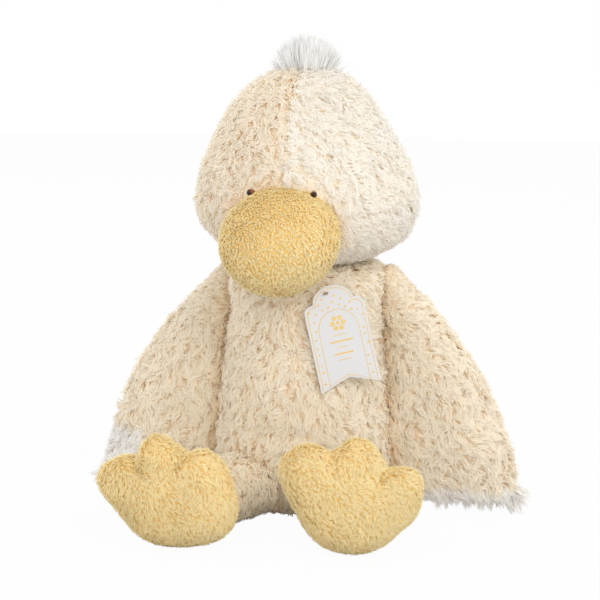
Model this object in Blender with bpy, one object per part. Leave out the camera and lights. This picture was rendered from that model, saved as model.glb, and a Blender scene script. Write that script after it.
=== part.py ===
"""A seated plush duck, sewn and stuffed: metres, Z up, facing -Y, with its left wing at +X.

Every soft form is a stack of level rings. A ring's reach to the right, left, front and back is a
share of the form's own sizes, so a body swells and tapers as its table of shares says. A cover is
such a form with a slimmer copy taken out of it, parted along its seam into two panels, and the
stuffing is a slimmer copy again. The larger forms cut the smaller ones that are sewn to them.

The origin is the middle of the flat seat.
"""

import math
from typing import NamedTuple

import bpy
import numpy as np
from mathutils import Matrix, Vector

# Cloth, seams and the room between pieces
CLOTH = 0.003
ROOM = 0.0005
WADDING_ROOM = 0.0015
SEAM_ROOM = 0.0003
JOINT_ROOM = 0.0008
SEAT_CUT = 0.0005
CUT_REACH = 0.3

# Torso
TORSO_HEIGHT = 0.2045
TORSO_HALF_WIDTH = 0.075
TORSO_FRONT = 0.081
TORSO_BACK = 0.072
TORSO_SEAM_BEHIND = 0.012
BEAN_BAG_HEIGHT = 0.030
BEAN_BAG_HALF_WIDTH = 0.052
BEAN_BAG_HALF_DEPTH = 0.048
LABEL_WIDTH = 0.020
LABEL_DROP = 0.026
LABEL_THICK = 0.0009
LABEL_HEIGHT = 0.034
LABEL_SIDEWAYS = 0.030

# Neck: a firm round wad that the head turns and nods on
NECK_RADIUS = 0.036
NECK_SUNK = 0.003
NECK_HEIGHT = TORSO_HEIGHT - NECK_SUNK
NECK_BEHIND = -0.003

# Head
HEAD_BOTTOM = TORSO_HEIGHT
HEAD_HEIGHT = 0.1525
HEAD_HALF_WIDTH = 0.089
HEAD_FRONT = 0.080
HEAD_BACK = 0.076
HEAD_AHEAD = 0.006
HEAD_TURNED = math.radians(-5)

# Eyes
EYE_RADIUS = 0.0031
EYE_OUT = 0.0255
EYE_ABOVE_CHIN = 0.061
EYE_HEIGHT = HEAD_BOTTOM + EYE_ABOVE_CHIN

# Bill
BILL_LENGTH = 0.088
BILL_HALF_WIDTH = 0.0465
BILL_UP = 0.036
BILL_DOWN = 0.035
BILL_ROOT_AHEAD = 0.060
BILL_ABOVE_CHIN = 0.047
BILL_ROOT_HEIGHT = HEAD_BOTTOM + BILL_ABOVE_CHIN
BILL_DROOP = math.radians(32)
BILL_ASKEW = math.radians(1.5)
BILL_CLOTH = 0.0025

# Crown tuft
TUFT_HEIGHT = 0.042
TUFT_HALF_WIDTH = 0.0265
TUFT_HALF_DEPTH = 0.016
TUFT_SUNK = 0.0125

# Wings
SHOULDER_OUT = 0.0675
SHOULDER_DOWN = 0.0165
SHOULDER_HEIGHT = TORSO_HEIGHT - SHOULDER_DOWN
SHOULDER_BEHIND = 0.002
SHOULDER_RADIUS = 0.0105
WING_BOTTOM = 0.013
WING_SPREAD = 0.058
WING_LEAN = 0.026
WING_OUTER = 0.048
WING_INNER = 0.052
WING_HALF_THICK = 0.018
FRINGE_DROP = 0.0105
FRINGE_OUT = 0.012
FRINGE_HALF_LONG = 0.043
FRINGE_HALF_THICK = 0.006
FRINGE_RISE = 0.010

# Legs: each swings on a line across the top of its root
LEG_TOP = 0.046
LEG_HALF_WIDTH = 0.0285
LEG_HALF_HEIGHT = 0.0215
LEG_REACH_BACK = 0.052
LEG_LENGTH = 0.150
LEG_RISE = 0.006
HIP_OUT = 0.042
HIP_AHEAD = {"left": 0.0745, "right": 0.0700}
LEG_SPLAY = {"left": math.radians(13), "right": math.radians(22)}

# Feet
FOOT_OUT = {"left": 0.0618, "right": 0.0812}
FOOT_PAST_LEG = 0.014
FOOT_AHEAD = LEG_LENGTH + FOOT_PAST_LEG
FOOT_HEIGHT = {"left": 0.0393, "right": 0.0385}
FOOT_HALF_WIDTH = 0.0401
FOOT_HALF_HEIGHT = 0.036
FOOT_SOLE = 0.024
FOOT_INSTEP = 0.021
FOOT_YAW = {"left": math.radians(6), "right": math.radians(10)}
FOOT_PITCH = math.radians(5)

# Hang tag on its barbed nylon pin
TAG_WIDTH = 0.0495
TAG_LENGTH = 0.083
TAG_THICK = 0.0008
TAG_NOTCH = 0.0085
TAG_ARCH_RISE = 0.0125
TAG_ARCH_HALF = 0.0165
TAG_SHOULDER = 0.0055
TAG_HOLE_RADIUS = 0.0012
TAG_HOLE_DOWN = 0.0055
TAG_HOLE_ASIDE = 0.0045
TAG_OUT = 0.0375
TAG_DOWN = 0.053
TAG_HEIGHT = TORSO_HEIGHT - TAG_DOWN
TAG_SUNK = 0.0025
TAG_OFF_MIDDLE = TORSO_FRONT - TAG_SUNK
TAG_YAW = math.radians(20)
TAG_TILT = math.radians(9)
TAG_ROLL = math.radians(11)
PIN_RADIUS = 0.0006
PIN_BAR_RADIUS = 0.0009
PIN_BAR_HALF = 0.0017
PIN_STAND_OFF = 0.0013
PIN_ROOT = 0.0144

# Shares of height from the bottom, then of the reach to the right, left, front and back
TORSO_SHARES = (
    (0.0, 0.0, 0.0, 0.0, 0.0),
    (0.0, 0.45, 0.45, 0.45, 0.45),
    (0.020, 0.72, 0.72, 0.71, 0.74),
    (0.085, 0.93, 0.93, 0.92, 0.92),
    (0.230, 1.0, 1.0, 1.0, 1.0),
    (0.420, 0.965, 0.965, 1.0, 0.98),
    (0.600, 0.885, 0.885, 0.95, 0.92),
    (0.770, 0.825, 0.825, 0.85, 0.83),
    (0.890, 0.745, 0.745, 0.74, 0.73),
    (0.975, 0.54, 0.54, 0.53, 0.54),
    (1.0, 0.0, 0.0, 0.0, 0.0),
)
BEAN_SHARES = (
    (0.0, 0.0, 0.0, 0.0, 0.0),
    (0.0, 0.55, 0.55, 0.55, 0.55),
    (0.10, 0.85, 0.85, 0.85, 0.85),
    (0.45, 1.0, 1.0, 1.0, 1.0),
    (0.90, 0.65, 0.65, 0.65, 0.65),
    (1.0, 0.0, 0.0, 0.0, 0.0),
)
HEAD_SHARES = (
    (0.0, 0.0, 0.0, 0.0, 0.0),
    (0.010, 0.46, 0.46, 0.46, 0.46),
    (0.055, 0.70, 0.70, 0.70, 0.70),
    (0.150, 0.91, 0.91, 0.90, 0.90),
    (0.300, 1.0, 1.0, 0.99, 1.0),
    (0.430, 0.965, 0.965, 0.985, 1.0),
    (0.580, 0.870, 0.875, 0.93, 0.95),
    (0.740, 0.728, 0.745, 0.80, 0.83),
    (0.880, 0.540, 0.560, 0.60, 0.62),
    (0.970, 0.32, 0.32, 0.34, 0.36),
    (1.0, 0.0, 0.0, 0.0, 0.0),
)
BILL_SHARES = (
    (0.0, 0.0, 0.0, 0.0, 0.0),
    (0.04, 0.72, 0.72, 0.72, 0.72),
    (0.28, 0.96, 0.96, 0.96, 0.96),
    (0.48, 1.0, 1.0, 1.0, 1.0),
    (0.70, 0.89, 0.89, 0.92, 0.90),
    (0.90, 0.56, 0.56, 0.62, 0.58),
    (1.0, 0.0, 0.0, 0.0, 0.0),
)
TUFT_SHARES = (
    (0.0, 0.0, 0.0, 0.0, 0.0),
    (0.04, 0.60, 0.60, 0.65, 0.65),
    (0.30, 0.80, 0.80, 0.80, 0.80),
    (0.68, 1.0, 1.0, 1.0, 1.0),
    (0.90, 0.72, 0.72, 0.80, 0.80),
    (1.0, 0.0, 0.0, 0.0, 0.0),
)
# A wing's shares run down from its shoulder: outer reach, inner reach, front and back
WING_SHARES = (
    (0.0, 0.0, 0.0, 0.0, 0.0),
    (0.035, 0.20, 0.20, 0.50, 0.50),
    (0.135, 0.35, 0.32, 0.80, 0.80),
    (0.300, 0.61, 0.42, 0.95, 0.95),
    (0.470, 0.81, 0.58, 1.0, 1.0),
    (0.640, 0.93, 0.76, 1.0, 1.0),
    (0.800, 1.0, 0.93, 0.90, 0.90),
    (0.920, 1.0, 0.95, 0.64, 0.64),
    (0.985, 0.90, 0.72, 0.34, 0.34),
    (1.0, 0.0, 0.0, 0.0, 0.0),
)
FRINGE_SHARES = (
    (0.0, 0.0, 0.0, 0.0, 0.0),
    (0.03, 0.86, 0.80, 0.70, 0.70),
    (0.50, 1.0, 1.0, 1.0, 1.0),
    (0.97, 0.96, 0.96, 0.80, 0.80),
    (1.0, 0.0, 0.0, 0.0, 0.0),
)
LEG_SHARES = (
    (0.0, 0.0, 0.0, 0.0, 0.0),
    (0.05, 0.80, 0.80, 0.80, 0.80),
    (0.30, 1.0, 1.0, 1.0, 1.0),
    (0.62, 0.94, 0.94, 0.93, 0.93),
    (0.92, 0.84, 0.84, 0.84, 0.84),
    (1.0, 0.0, 0.0, 0.0, 0.0),
)

# A foot's toes, and the bulge that each foot's pressed cushion makes: how far each stands out of the
# oval, its angle from the outer side in degrees, and its spread
FOOT_SWELLINGS = {
    "left": ((0.0246, 144, 28), (0.0137, 80, 21), (0.0133, 25, 16), (0.0098, 0, 20)),
    "right": ((0.0105, 139, 24), (0.0115, 77, 20), (0.0211, 14, 23), (0.0156, -170, 38)),
}

# Rings round a form and curve steps between its rows: for covers, their insides, and small forms
COVER_DETAIL = (28, 2)
INSIDE_DETAIL = (18, 1)
BILL_DETAIL = (24, 2)
BILL_INSIDE_DETAIL = (16, 1)
WING_DETAIL = (20, 2)
WING_INSIDE_DETAIL = (14, 1)
LEG_DETAIL = (18, 1)
LEG_INSIDE_DETAIL = (12, 1)
BEAN_DETAIL = (16, 1)
BEAN_POCKET_DETAIL = (16, 2)
TUFT_DETAIL = (14, 1)
FRINGE_DETAIL = (16, 1)
NECK_DETAIL = (20, 12)
EYE_DETAIL = (12, 8)
FOOT_DETAIL = (28, 12)
FOOT_INSIDE_DETAIL = (20, 10)
ROD_SIDES = 8
HOLE_SIDES = 16
ARCH_POINTS = 13
SHOULDER_POINTS = 5

# Roughness of each finish
CLOTH_ROUGHNESS = 0.9
RIBBON_ROUGHNESS = 0.6
BEAD_ROUGHNESS = 0.25
CARD_ROUGHNESS = 0.55
NYLON_ROUGHNESS = 0.35

# Colours as linear red, green and blue
CREAM_PLUSH = (0.86, 0.78, 0.64)
BEIGE_PLUSH = (0.72, 0.60, 0.44)
YELLOW_KNIT = (0.84, 0.60, 0.22)
WHITE_PILE = (0.86, 0.86, 0.84)
FIBREFILL = (0.90, 0.90, 0.88)
BEAN_CLOTH = (0.55, 0.53, 0.48)
EYE_BROWN = (0.035, 0.020, 0.012)
TAG_CARD = (0.80, 0.79, 0.86)
NYLON = (0.75, 0.75, 0.72)

SIDES = {"left": 1, "right": -1}


class Form(NamedTuple):
    """A ringed form: its shares, its height, its four reaches and how far its top leans away."""

    shares: tuple
    height: float
    right: float
    left: float
    front: float
    back: float
    lean: tuple = (0.0, 0.0)


def changed(form, by):
    """The same form with its skin moved out by this much everywhere, or in where it is negative."""
    return form._replace(
        height=form.height + by + by,
        right=form.right + by,
        left=form.left + by,
        front=form.front + by,
        back=form.back + by,
    )


def smooth_shares(shares, steps):
    """A Catmull-Rom curve through the shares, mirrored in the axis at both poles so they are round."""
    rows = np.array(shares, dtype=float)
    flip = np.array([1.0, -1.0, -1.0, -1.0, -1.0])
    rows = np.vstack([rows[1] * flip, rows, rows[-2] * flip])
    before, start, end, after = rows[:-3], rows[1:-2], rows[2:-1], rows[3:]
    curve = []
    for t in np.arange(steps) / steps:
        curve.append(
            start
            + (end - before) * t / 2
            + (before * 2 - start * 5 + end * 4 - after) * t**2 / 2
            + (start * 3 - before - end * 3 + after) * t**3 / 2
        )
    table = np.stack(curve, axis=1).reshape(-1, rows.shape[1])
    return np.vstack([table, rows[-2]])


def ring_points(form, segments, steps):
    """Every ring of a form as points, its four quarters being quarter ellipses of their own reach."""
    table = smooth_shares(form.shares, steps)
    angles = (np.arange(segments) + 0.5) * math.tau / segments
    across, along = np.cos(angles), np.sin(angles)
    rows = table[1:-1]
    reach_x = np.where(across > 0, rows[:, 1:2] * form.right, rows[:, 2:3] * form.left)
    reach_y = np.where(along > 0, rows[:, 4:5] * form.back, rows[:, 3:4] * form.front)
    x = reach_x * across + rows[:, :1] * form.lean[0]
    y = reach_y * along + rows[:, :1] * form.lean[1]
    z = np.broadcast_to(rows[:, :1] * form.height, x.shape)
    return np.stack([x, y, z], axis=-1)


def form_mesh(name, form, segments, steps):
    """The closed surface of a form: a fan at each pole, and a band of four-sided faces between rings."""
    rings = ring_points(form, segments, steps)
    bottom = (0.0, 0.0, 0.0)
    top = (form.lean[0], form.lean[1], form.height)
    return closed_mesh(name, rings, bottom, top)


def closed_mesh(name, rings, bottom, top):
    """Rings of points closed into one body, with a single point below them and one above."""
    count, segments = rings.shape[:2]
    points = [bottom, *map(tuple, rings.reshape(-1, 3)), top]
    last = len(points) - 1
    faces = []
    for k in range(segments):
        following = (k + 1) % segments
        faces.append((0, 1 + following, 1 + k))
        faces.append((last, last - segments + k, last - segments + following))
        for ring in range(count - 1):
            low = 1 + ring * segments
            high = low + segments
            faces.append((low + k, low + following, high + following, high + k))
    mesh = bpy.data.meshes.new(name)
    mesh.from_pydata(points, [], faces)
    mesh.validate()
    return mesh


def material(name, colour, roughness):
    """A Principled material of one colour."""
    made = bpy.data.materials.new(name)
    made.use_nodes = True
    shader = made.node_tree.nodes["Principled BSDF"]
    shader.inputs["Base Color"].default_value = (*colour, 1.0)
    shader.inputs["Roughness"].default_value = roughness
    shader.inputs["Metallic"].default_value = 0.0
    return made


def place(obj, placing, parent):
    """Puts an object where placing says in the world, under its parent empty."""
    obj.parent = parent
    obj.matrix_local = parent.matrix_basis.inverted() @ placing


def pivot(name, spot):
    """An empty on a joint, which the pieces that move about it hang from."""
    empty = bpy.data.objects.new(name, None)
    bpy.context.scene.collection.objects.link(empty)
    empty.matrix_basis = Matrix.Translation(spot)
    return empty


def piece(name, mesh, placing, parent, colour, roughness=CLOTH_ROUGHNESS):
    """A sub-part of the duck, with a material of its own."""
    obj = bpy.data.objects.new(name, mesh.copy())
    bpy.context.scene.collection.objects.link(obj)
    place(obj, placing, parent)
    obj.data.materials.append(material(name, colour, roughness))
    obj.data.shade_smooth()
    return obj


def cutter(name, mesh, placing, parent):
    """A shape that only cuts others."""
    obj = bpy.data.objects.new(name, mesh)
    bpy.context.scene.collection.objects.link(obj)
    place(obj, placing, parent)
    obj.hide_render = True
    obj.display_type = "WIRE"
    return obj


def cut(obj, *cutters):
    """Takes the cutters' shapes out of a piece."""
    for shape in cutters:
        boolean = obj.modifiers.new(shape.name, "BOOLEAN")
        boolean.operation = "DIFFERENCE"
        boolean.solver = "EXACT"
        boolean.object = shape


def block_mesh(name, low, high):
    """A box between two corners."""
    x, y, z = zip(low, high)
    points = [(x[i], y[j], z[k]) for i in (0, 1) for j in (0, 1) for k in (0, 1)]
    faces = [(0, 1, 3, 2), (4, 6, 7, 5), (0, 4, 5, 1), (2, 3, 7, 6), (0, 2, 6, 4), (1, 5, 7, 3)]
    mesh = bpy.data.meshes.new(name)
    mesh.from_pydata(points, [], faces)
    return mesh


def seam_block(name, placing, parent, axis, at, side):
    """Cuts off everything on one side of a seam plane, and half the seam's room with it."""
    low = [-CUT_REACH] * 3
    high = [CUT_REACH] * 3
    if side > 0:
        low[axis] = at - SEAM_ROOM / 2
    else:
        high[axis] = at + SEAM_ROOM / 2
    return cutter(name, block_mesh(name, low, high), placing, parent)


def slimmer_placing(placing, by):
    """Where a slimmer copy of a form stands, so that it is as far inside at both poles."""
    return placing @ Matrix.Translation((0.0, 0.0, by))


class Cloth(NamedTuple):
    """What a cover is sewn from: its thickness, its colour and how finely its two sides are made."""

    thick: float
    colour: tuple
    detail: tuple
    inside: tuple


def cover(names, form, placing, parent, cloth, seam, cutters):
    """Two sewn panels round a hollow. The first lies on the low side of the seam plane, which leans
    with the form."""
    axis, at = seam
    leaning = placing @ Matrix.Rotation(-math.atan2(form.lean[1], form.height), 4, "X")
    outer = form_mesh("outer", form, *cloth.detail)
    hollow = grown_cutter(names[0] + "_hollow", form, placing, parent, -cloth.thick, cloth.inside)
    for name, side in zip(names, (1, -1)):
        panel = piece(name, outer, placing, parent, cloth.colour)
        half = seam_block(name + "_beyond", leaning, parent, axis, at, side)
        cut(panel, *cutters, half, hollow)


def stuffing(name, form, placing, parent, cloth, cutters, room=ROOM):
    """Fibrefill inside a cover, a little clear of the cloth."""
    inside = cloth.thick + room
    mesh = form_mesh(name, changed(form, -inside), *cloth.inside)
    cut(piece(name, mesh, slimmer_placing(placing, inside), parent, FIBREFILL), *cutters)


def grown_cutter(name, form, placing, parent, by, detail=COVER_DETAIL):
    """A form's own shape with its skin moved out or in, to cut what is sewn to it or fills it."""
    mesh = form_mesh(name, changed(form, by), *detail)
    return cutter(name, mesh, slimmer_placing(placing, -by), parent)


def ball_mesh(name, radius, segments, rings):
    """A ball about its own middle."""
    heights = np.arange(1, rings) * math.pi / rings
    angles = np.arange(segments) * math.tau / segments
    across = radius * np.sin(heights)[:, None]
    x = across * np.cos(angles)
    y = across * np.sin(angles)
    z = np.broadcast_to(-radius * np.cos(heights)[:, None], x.shape)
    return closed_mesh(name, np.stack([x, y, z], axis=-1), (0.0, 0.0, -radius), (0.0, 0.0, radius))


def clear_scene():
    """Removes whatever the file started with."""
    for obj in list(bpy.data.objects):
        bpy.data.objects.remove(obj)


TORSO = Form(
    shares=TORSO_SHARES,
    height=TORSO_HEIGHT + SEAT_CUT,
    right=TORSO_HALF_WIDTH,
    left=TORSO_HALF_WIDTH,
    front=TORSO_FRONT,
    back=TORSO_BACK,
)
TORSO_PLACING = Matrix.Translation((0.0, 0.0, -SEAT_CUT))
HEAD = Form(
    shares=HEAD_SHARES,
    height=HEAD_HEIGHT,
    right=HEAD_HALF_WIDTH,
    left=HEAD_HALF_WIDTH,
    front=HEAD_FRONT,
    back=HEAD_BACK,
)
NECK_SPOT = Vector((0.0, NECK_BEHIND, NECK_HEIGHT))
BEIGE_CLOTH = Cloth(CLOTH, BEIGE_PLUSH, COVER_DETAIL, INSIDE_DETAIL)
CREAM_CLOTH = Cloth(CLOTH, CREAM_PLUSH, COVER_DETAIL, INSIDE_DETAIL)
WING_CLOTH = Cloth(CLOTH, BEIGE_PLUSH, WING_DETAIL, WING_INSIDE_DETAIL)
LEG_CLOTH = Cloth(CLOTH, BEIGE_PLUSH, LEG_DETAIL, LEG_INSIDE_DETAIL)
KNIT_CLOTH = Cloth(BILL_CLOTH, YELLOW_KNIT, BILL_DETAIL, BILL_INSIDE_DETAIL)


def dish_cutter(name, parent):
    """The round dish that the neck wad turns in."""
    dish = ball_mesh(name, NECK_RADIUS + ROOM, *NECK_DETAIL)
    return cutter(name, dish, Matrix.Translation(NECK_SPOT), parent)


def make_torso(root):
    """The trunk: front and back panels sewn up the sides, filling, and beans that keep it seated."""
    below = block_mesh("floor", (-CUT_REACH, -CUT_REACH, -CUT_REACH), (CUT_REACH, CUT_REACH, 0.0))
    floor = cutter("floor", below, Matrix(), root)
    neck_dish = dish_cutter("neck_dish", root)
    names = ("torso_front_panel", "torso_back_panel")
    cover(names, TORSO, TORSO_PLACING, root, BEIGE_CLOTH, (1, TORSO_SEAM_BEHIND), (neck_dish, floor))
    beans = Form(
        shares=BEAN_SHARES,
        height=BEAN_BAG_HEIGHT,
        right=BEAN_BAG_HALF_WIDTH,
        left=BEAN_BAG_HALF_WIDTH,
        front=BEAN_BAG_HALF_DEPTH,
        back=BEAN_BAG_HALF_DEPTH,
    )
    beans_placing = Matrix.Translation((0.0, 0.0, CLOTH + ROOM - SEAT_CUT))
    pocket = grown_cutter("bean_pocket", beans, beans_placing, root, ROOM, BEAN_POCKET_DETAIL)
    stuffing("torso_stuffing", TORSO, TORSO_PLACING, root, BEIGE_CLOTH, (neck_dish, pocket))
    piece("seat_bean_bag", form_mesh("beans", beans, *BEAN_DETAIL), beans_placing, root, BEAN_CLOTH)
    make_label(root)


def make_label(root):
    """The bare sewn-in ribbon label, standing out of the side seam near the seat."""
    share = (LABEL_HEIGHT + SEAT_CUT) / TORSO.height
    table = smooth_shares(TORSO.shares, 2)
    reach = np.interp(share, table[:, 0], table[:, 4]) * TORSO_BACK
    half = np.interp(share, table[:, 0], table[:, 1]) * TORSO_HALF_WIDTH
    behind = reach * math.sqrt(1 - (LABEL_SIDEWAYS / half) ** 2)
    spot = Matrix.Translation((LABEL_SIDEWAYS, behind, LABEL_HEIGHT))
    mesh = block_mesh(
        "label",
        (-LABEL_THICK / 2, -CLOTH, -LABEL_WIDTH / 2),
        (LABEL_THICK / 2, LABEL_DROP, LABEL_WIDTH / 2),
    )
    label = piece("seam_label", mesh, spot, root, WHITE_PILE, RIBBON_ROUGHNESS)
    cut(label, grown_cutter("label_root", TORSO, TORSO_PLACING, root, SEAM_ROOM))


def head_placing(placing):
    """Turns a place in the head with the head, which looks a little to one side."""
    about = Matrix.Translation(NECK_SPOT)
    return about @ Matrix.Rotation(HEAD_TURNED, 4, "Z") @ about.inverted() @ placing


def face_depth(out, height):
    """How far ahead of the head's axis its skin lies, at this distance out and height."""
    share = (height - HEAD_BOTTOM) / HEAD_HEIGHT
    table = smooth_shares(HEAD_SHARES, 2)
    half = np.interp(share, table[:, 0], table[:, 1]) * HEAD_HALF_WIDTH
    front = np.interp(share, table[:, 0], table[:, 3]) * HEAD_FRONT
    return HEAD_AHEAD + front * math.sqrt(1 - (out / half) ** 2)


def make_head(nod_pivot):
    """The head: two side panels sewn up the middle, filling, eyes, tuft and bill."""
    placing = head_placing(Matrix.Translation((0.0, -HEAD_AHEAD, HEAD_BOTTOM)))
    dish = dish_cutter("head_dish", nod_pivot)
    names = ("head_right_panel", "head_left_panel")
    cover(names, HEAD, placing, nod_pivot, CREAM_CLOTH, (0, 0.0), (dish,))
    stuffing("head_stuffing", HEAD, placing, nod_pivot, CREAM_CLOTH, (dish,))
    skin = grown_cutter("head_skin", HEAD, placing, nod_pivot, SEAM_ROOM)
    sockets = []
    for side, sign in SIDES.items():
        at = (sign * EYE_OUT, -face_depth(EYE_OUT, EYE_HEIGHT), EYE_HEIGHT)
        spot = head_placing(Matrix.Translation(at))
        bead = ball_mesh("eye", EYE_RADIUS, *EYE_DETAIL)
        cut(piece("eye_" + side, bead, spot, nod_pivot, EYE_BROWN, BEAD_ROUGHNESS), skin)
        room = ball_mesh("socket", EYE_RADIUS + ROOM, *EYE_DETAIL)
        sockets.append(cutter("socket_" + side, room, spot, nod_pivot))
    make_tuft(nod_pivot, skin)
    make_bill(nod_pivot, (skin, *sockets))


def make_tuft(nod_pivot, skin):
    """The tuft of long white pile on the crown, broadening upwards."""
    tuft = Form(
        shares=TUFT_SHARES,
        height=TUFT_HEIGHT,
        right=TUFT_HALF_WIDTH,
        left=TUFT_HALF_WIDTH,
        front=TUFT_HALF_DEPTH,
        back=TUFT_HALF_DEPTH,
    )
    spot = Matrix.Translation((0.0, -HEAD_AHEAD, HEAD_BOTTOM + HEAD_HEIGHT - TUFT_SUNK))
    pile = form_mesh("tuft", tuft, *TUFT_DETAIL)
    cut(piece("crown_tuft", pile, head_placing(spot), nod_pivot, WHITE_PILE), skin)


def make_bill(nod_pivot, around):
    """The bill: a broad drooping pillow of knit cloth, sewn to the face round its root and dented by
    the eyes at its upper corners."""
    form = Form(
        shares=BILL_SHARES,
        height=BILL_LENGTH,
        right=BILL_HALF_WIDTH,
        left=BILL_HALF_WIDTH,
        front=BILL_DOWN,
        back=BILL_UP,
    )
    turn = Matrix.Rotation(math.pi / 2 + BILL_DROOP, 4, "X")
    askew = Matrix.Rotation(BILL_ASKEW, 4, "Z")
    placing = head_placing(Matrix.Translation((0.0, -BILL_ROOT_AHEAD, BILL_ROOT_HEIGHT)) @ askew @ turn)
    names = ("bill_under_panel", "bill_upper_panel")
    cover(names, form, placing, nod_pivot, KNIT_CLOTH, (1, 0.0), around)
    stuffing("bill_stuffing", form, placing, nod_pivot, KNIT_CLOTH, around)


def make_wing(side, sign, shoulder, trunk, trunk_inside):
    """A wing: front and back panels over thin wadding, hanging from a round root at the shoulder."""
    reaches = (WING_OUTER, WING_INNER)[::sign]
    shares = []
    for down, outer, inner, front, back in reversed(WING_SHARES):
        shares.append((1 - down, *(outer, inner)[::sign], front, back))
    form = Form(
        shares=tuple(shares),
        height=SHOULDER_HEIGHT + SHOULDER_RADIUS - WING_BOTTOM,
        right=reaches[0],
        left=reaches[1],
        front=WING_HALF_THICK,
        back=WING_HALF_THICK,
        lean=(-sign * WING_SPREAD, WING_LEAN),
    )
    spot = (sign * (SHOULDER_OUT + WING_SPREAD), SHOULDER_BEHIND - WING_LEAN, WING_BOTTOM)
    placing = Matrix.Translation(spot)
    names = (f"wing_{side}_front_panel", f"wing_{side}_back_panel")
    cover(names, form, placing, shoulder, WING_CLOTH, (1, 0.0), (trunk,))
    stuffing(f"wing_{side}_wadding", form, placing, shoulder, WING_CLOTH, (trunk_inside,), WADDING_ROOM)
    return form, placing


def make_fringe(side, sign, shoulder, wing_form, wing_placing):
    """Long white pile along the lower edge of a wing."""
    form = Form(
        shares=FRINGE_SHARES,
        height=FRINGE_DROP + FRINGE_RISE,
        right=FRINGE_HALF_LONG,
        left=FRINGE_HALF_LONG,
        front=FRINGE_HALF_THICK,
        back=FRINGE_HALF_THICK,
    )
    placing = wing_placing @ Matrix.Translation((sign * FRINGE_OUT, 0.0, -FRINGE_DROP))
    pile = form_mesh("fringe", form, *FRINGE_DETAIL)
    edge = grown_cutter(f"wing_{side}_edge", wing_form, wing_placing, shoulder, ROOM, WING_DETAIL)
    cut(piece(f"wing_{side}_fringe", pile, placing, shoulder, WHITE_PILE), edge)


def leg_frame(side, sign):
    """The middle of a leg's swing line, with X along the line, Y up and Z out along the leg."""
    splay = sign * LEG_SPLAY[side]
    forward = Vector((math.sin(splay), -math.cos(splay), 0.0))
    across = Vector((math.cos(splay), math.sin(splay), 0.0))
    frame = Matrix((across, (0.0, 0.0, 1.0), forward)).transposed().to_4x4()
    return Matrix.Translation((sign * HIP_OUT, -HIP_AHEAD[side], LEG_TOP)) @ frame


def make_leg(side, sign, hip, trunk, trunk_inside):
    """A leg: a short stuffed tube, sewn to the trunk behind and to the foot in front."""
    form = Form(
        shares=LEG_SHARES,
        height=LEG_LENGTH,
        right=LEG_HALF_WIDTH,
        left=LEG_HALF_WIDTH,
        front=LEG_HALF_HEIGHT,
        back=LEG_HALF_HEIGHT,
        lean=(0.0, LEG_RISE),
    )
    placing = leg_frame(side, sign) @ Matrix.Translation((0.0, -LEG_HALF_HEIGHT, -LEG_REACH_BACK))
    foot_shape = foot_cutter(side, sign, hip)
    names = (f"leg_{side}_under_panel", f"leg_{side}_top_panel")
    cover(names, form, placing, hip, LEG_CLOTH, (1, 0.0), (trunk, foot_shape))
    stuffing(f"leg_{side}_stuffing", form, placing, hip, LEG_CLOTH, (trunk_inside, foot_shape))


def foot_placing(side, sign):
    """The middle of a foot, its sole facing ahead and its toes up."""
    spot = Matrix.Translation((sign * FOOT_OUT[side], -FOOT_AHEAD, FOOT_HEIGHT[side]))
    return spot @ Matrix.Rotation(sign * FOOT_YAW[side], 4, "Z") @ Matrix.Rotation(-FOOT_PITCH, 4, "X")


def foot_mesh(name, side, sign, by, segments, rings):
    """A puffed foot. Its outline is an ellipse with three toes, each a bell-shaped swelling of the
    radius, and the toes fade towards the middle of the sole and of the instep."""
    turns = np.arange(segments) * math.tau / segments
    heights = np.arange(1, rings) * math.pi / rings
    across, up = FOOT_HALF_WIDTH + by, FOOT_HALF_HEIGHT + by
    oval = 1 / np.sqrt((np.cos(turns) / across) ** 2 + (np.sin(turns) / up) ** 2)
    toes = np.zeros_like(turns)
    for reach, angle, spread in FOOT_SWELLINGS[side]:
        away = (np.degrees(turns) - angle + 180) % 360 - 180
        toes += reach * np.exp(-((away / spread) ** 2))
    rim = np.sin(heights)[:, None]
    radius = oval * rim**0.8 + toes * rim**2
    thick = np.where(heights < math.pi / 2, FOOT_SOLE + by, FOOT_INSTEP + by)
    x = sign * radius * np.cos(turns)
    z = radius * np.sin(turns)
    y = np.broadcast_to(-(thick * np.cos(heights))[:, None], x.shape)
    rows = np.stack([x, y, z], axis=-1)
    if sign > 0:
        rows = rows[:, ::-1]
    return closed_mesh(name, rows, (0.0, -FOOT_SOLE - by, 0.0), (0.0, FOOT_INSTEP + by, 0.0))


def foot_cutter(side, sign, hip):
    """A foot's own shape with a little room, to end its leg."""
    shape = foot_mesh("foot_shape", side, sign, SEAM_ROOM, *FOOT_DETAIL)
    return cutter(f"foot_{side}_shape", shape, foot_placing(side, sign), hip)


def make_foot(side, sign, hip):
    """A foot: sole and instep panels of knit cloth over firm filling."""
    placing = foot_placing(side, sign)
    outer = foot_mesh("foot_outer", side, sign, 0.0, *FOOT_DETAIL)
    inner = foot_mesh("foot_hollow", side, sign, -CLOTH, *FOOT_INSIDE_DETAIL)
    hollow = cutter(f"foot_{side}_hollow", inner, placing, hip)
    for name, way in (("sole", 1), ("instep", -1)):
        panel = piece(f"foot_{side}_{name}_panel", outer, placing, hip, YELLOW_KNIT)
        cut(panel, hollow, seam_block(f"foot_{side}_{name}_beyond", placing, hip, 1, 0.0, way))
    filling = foot_mesh("foot_filling", side, sign, -CLOTH - ROOM, *FOOT_INSIDE_DETAIL)
    piece(f"foot_{side}_stuffing", filling, placing, hip, FIBREFILL)


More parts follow.
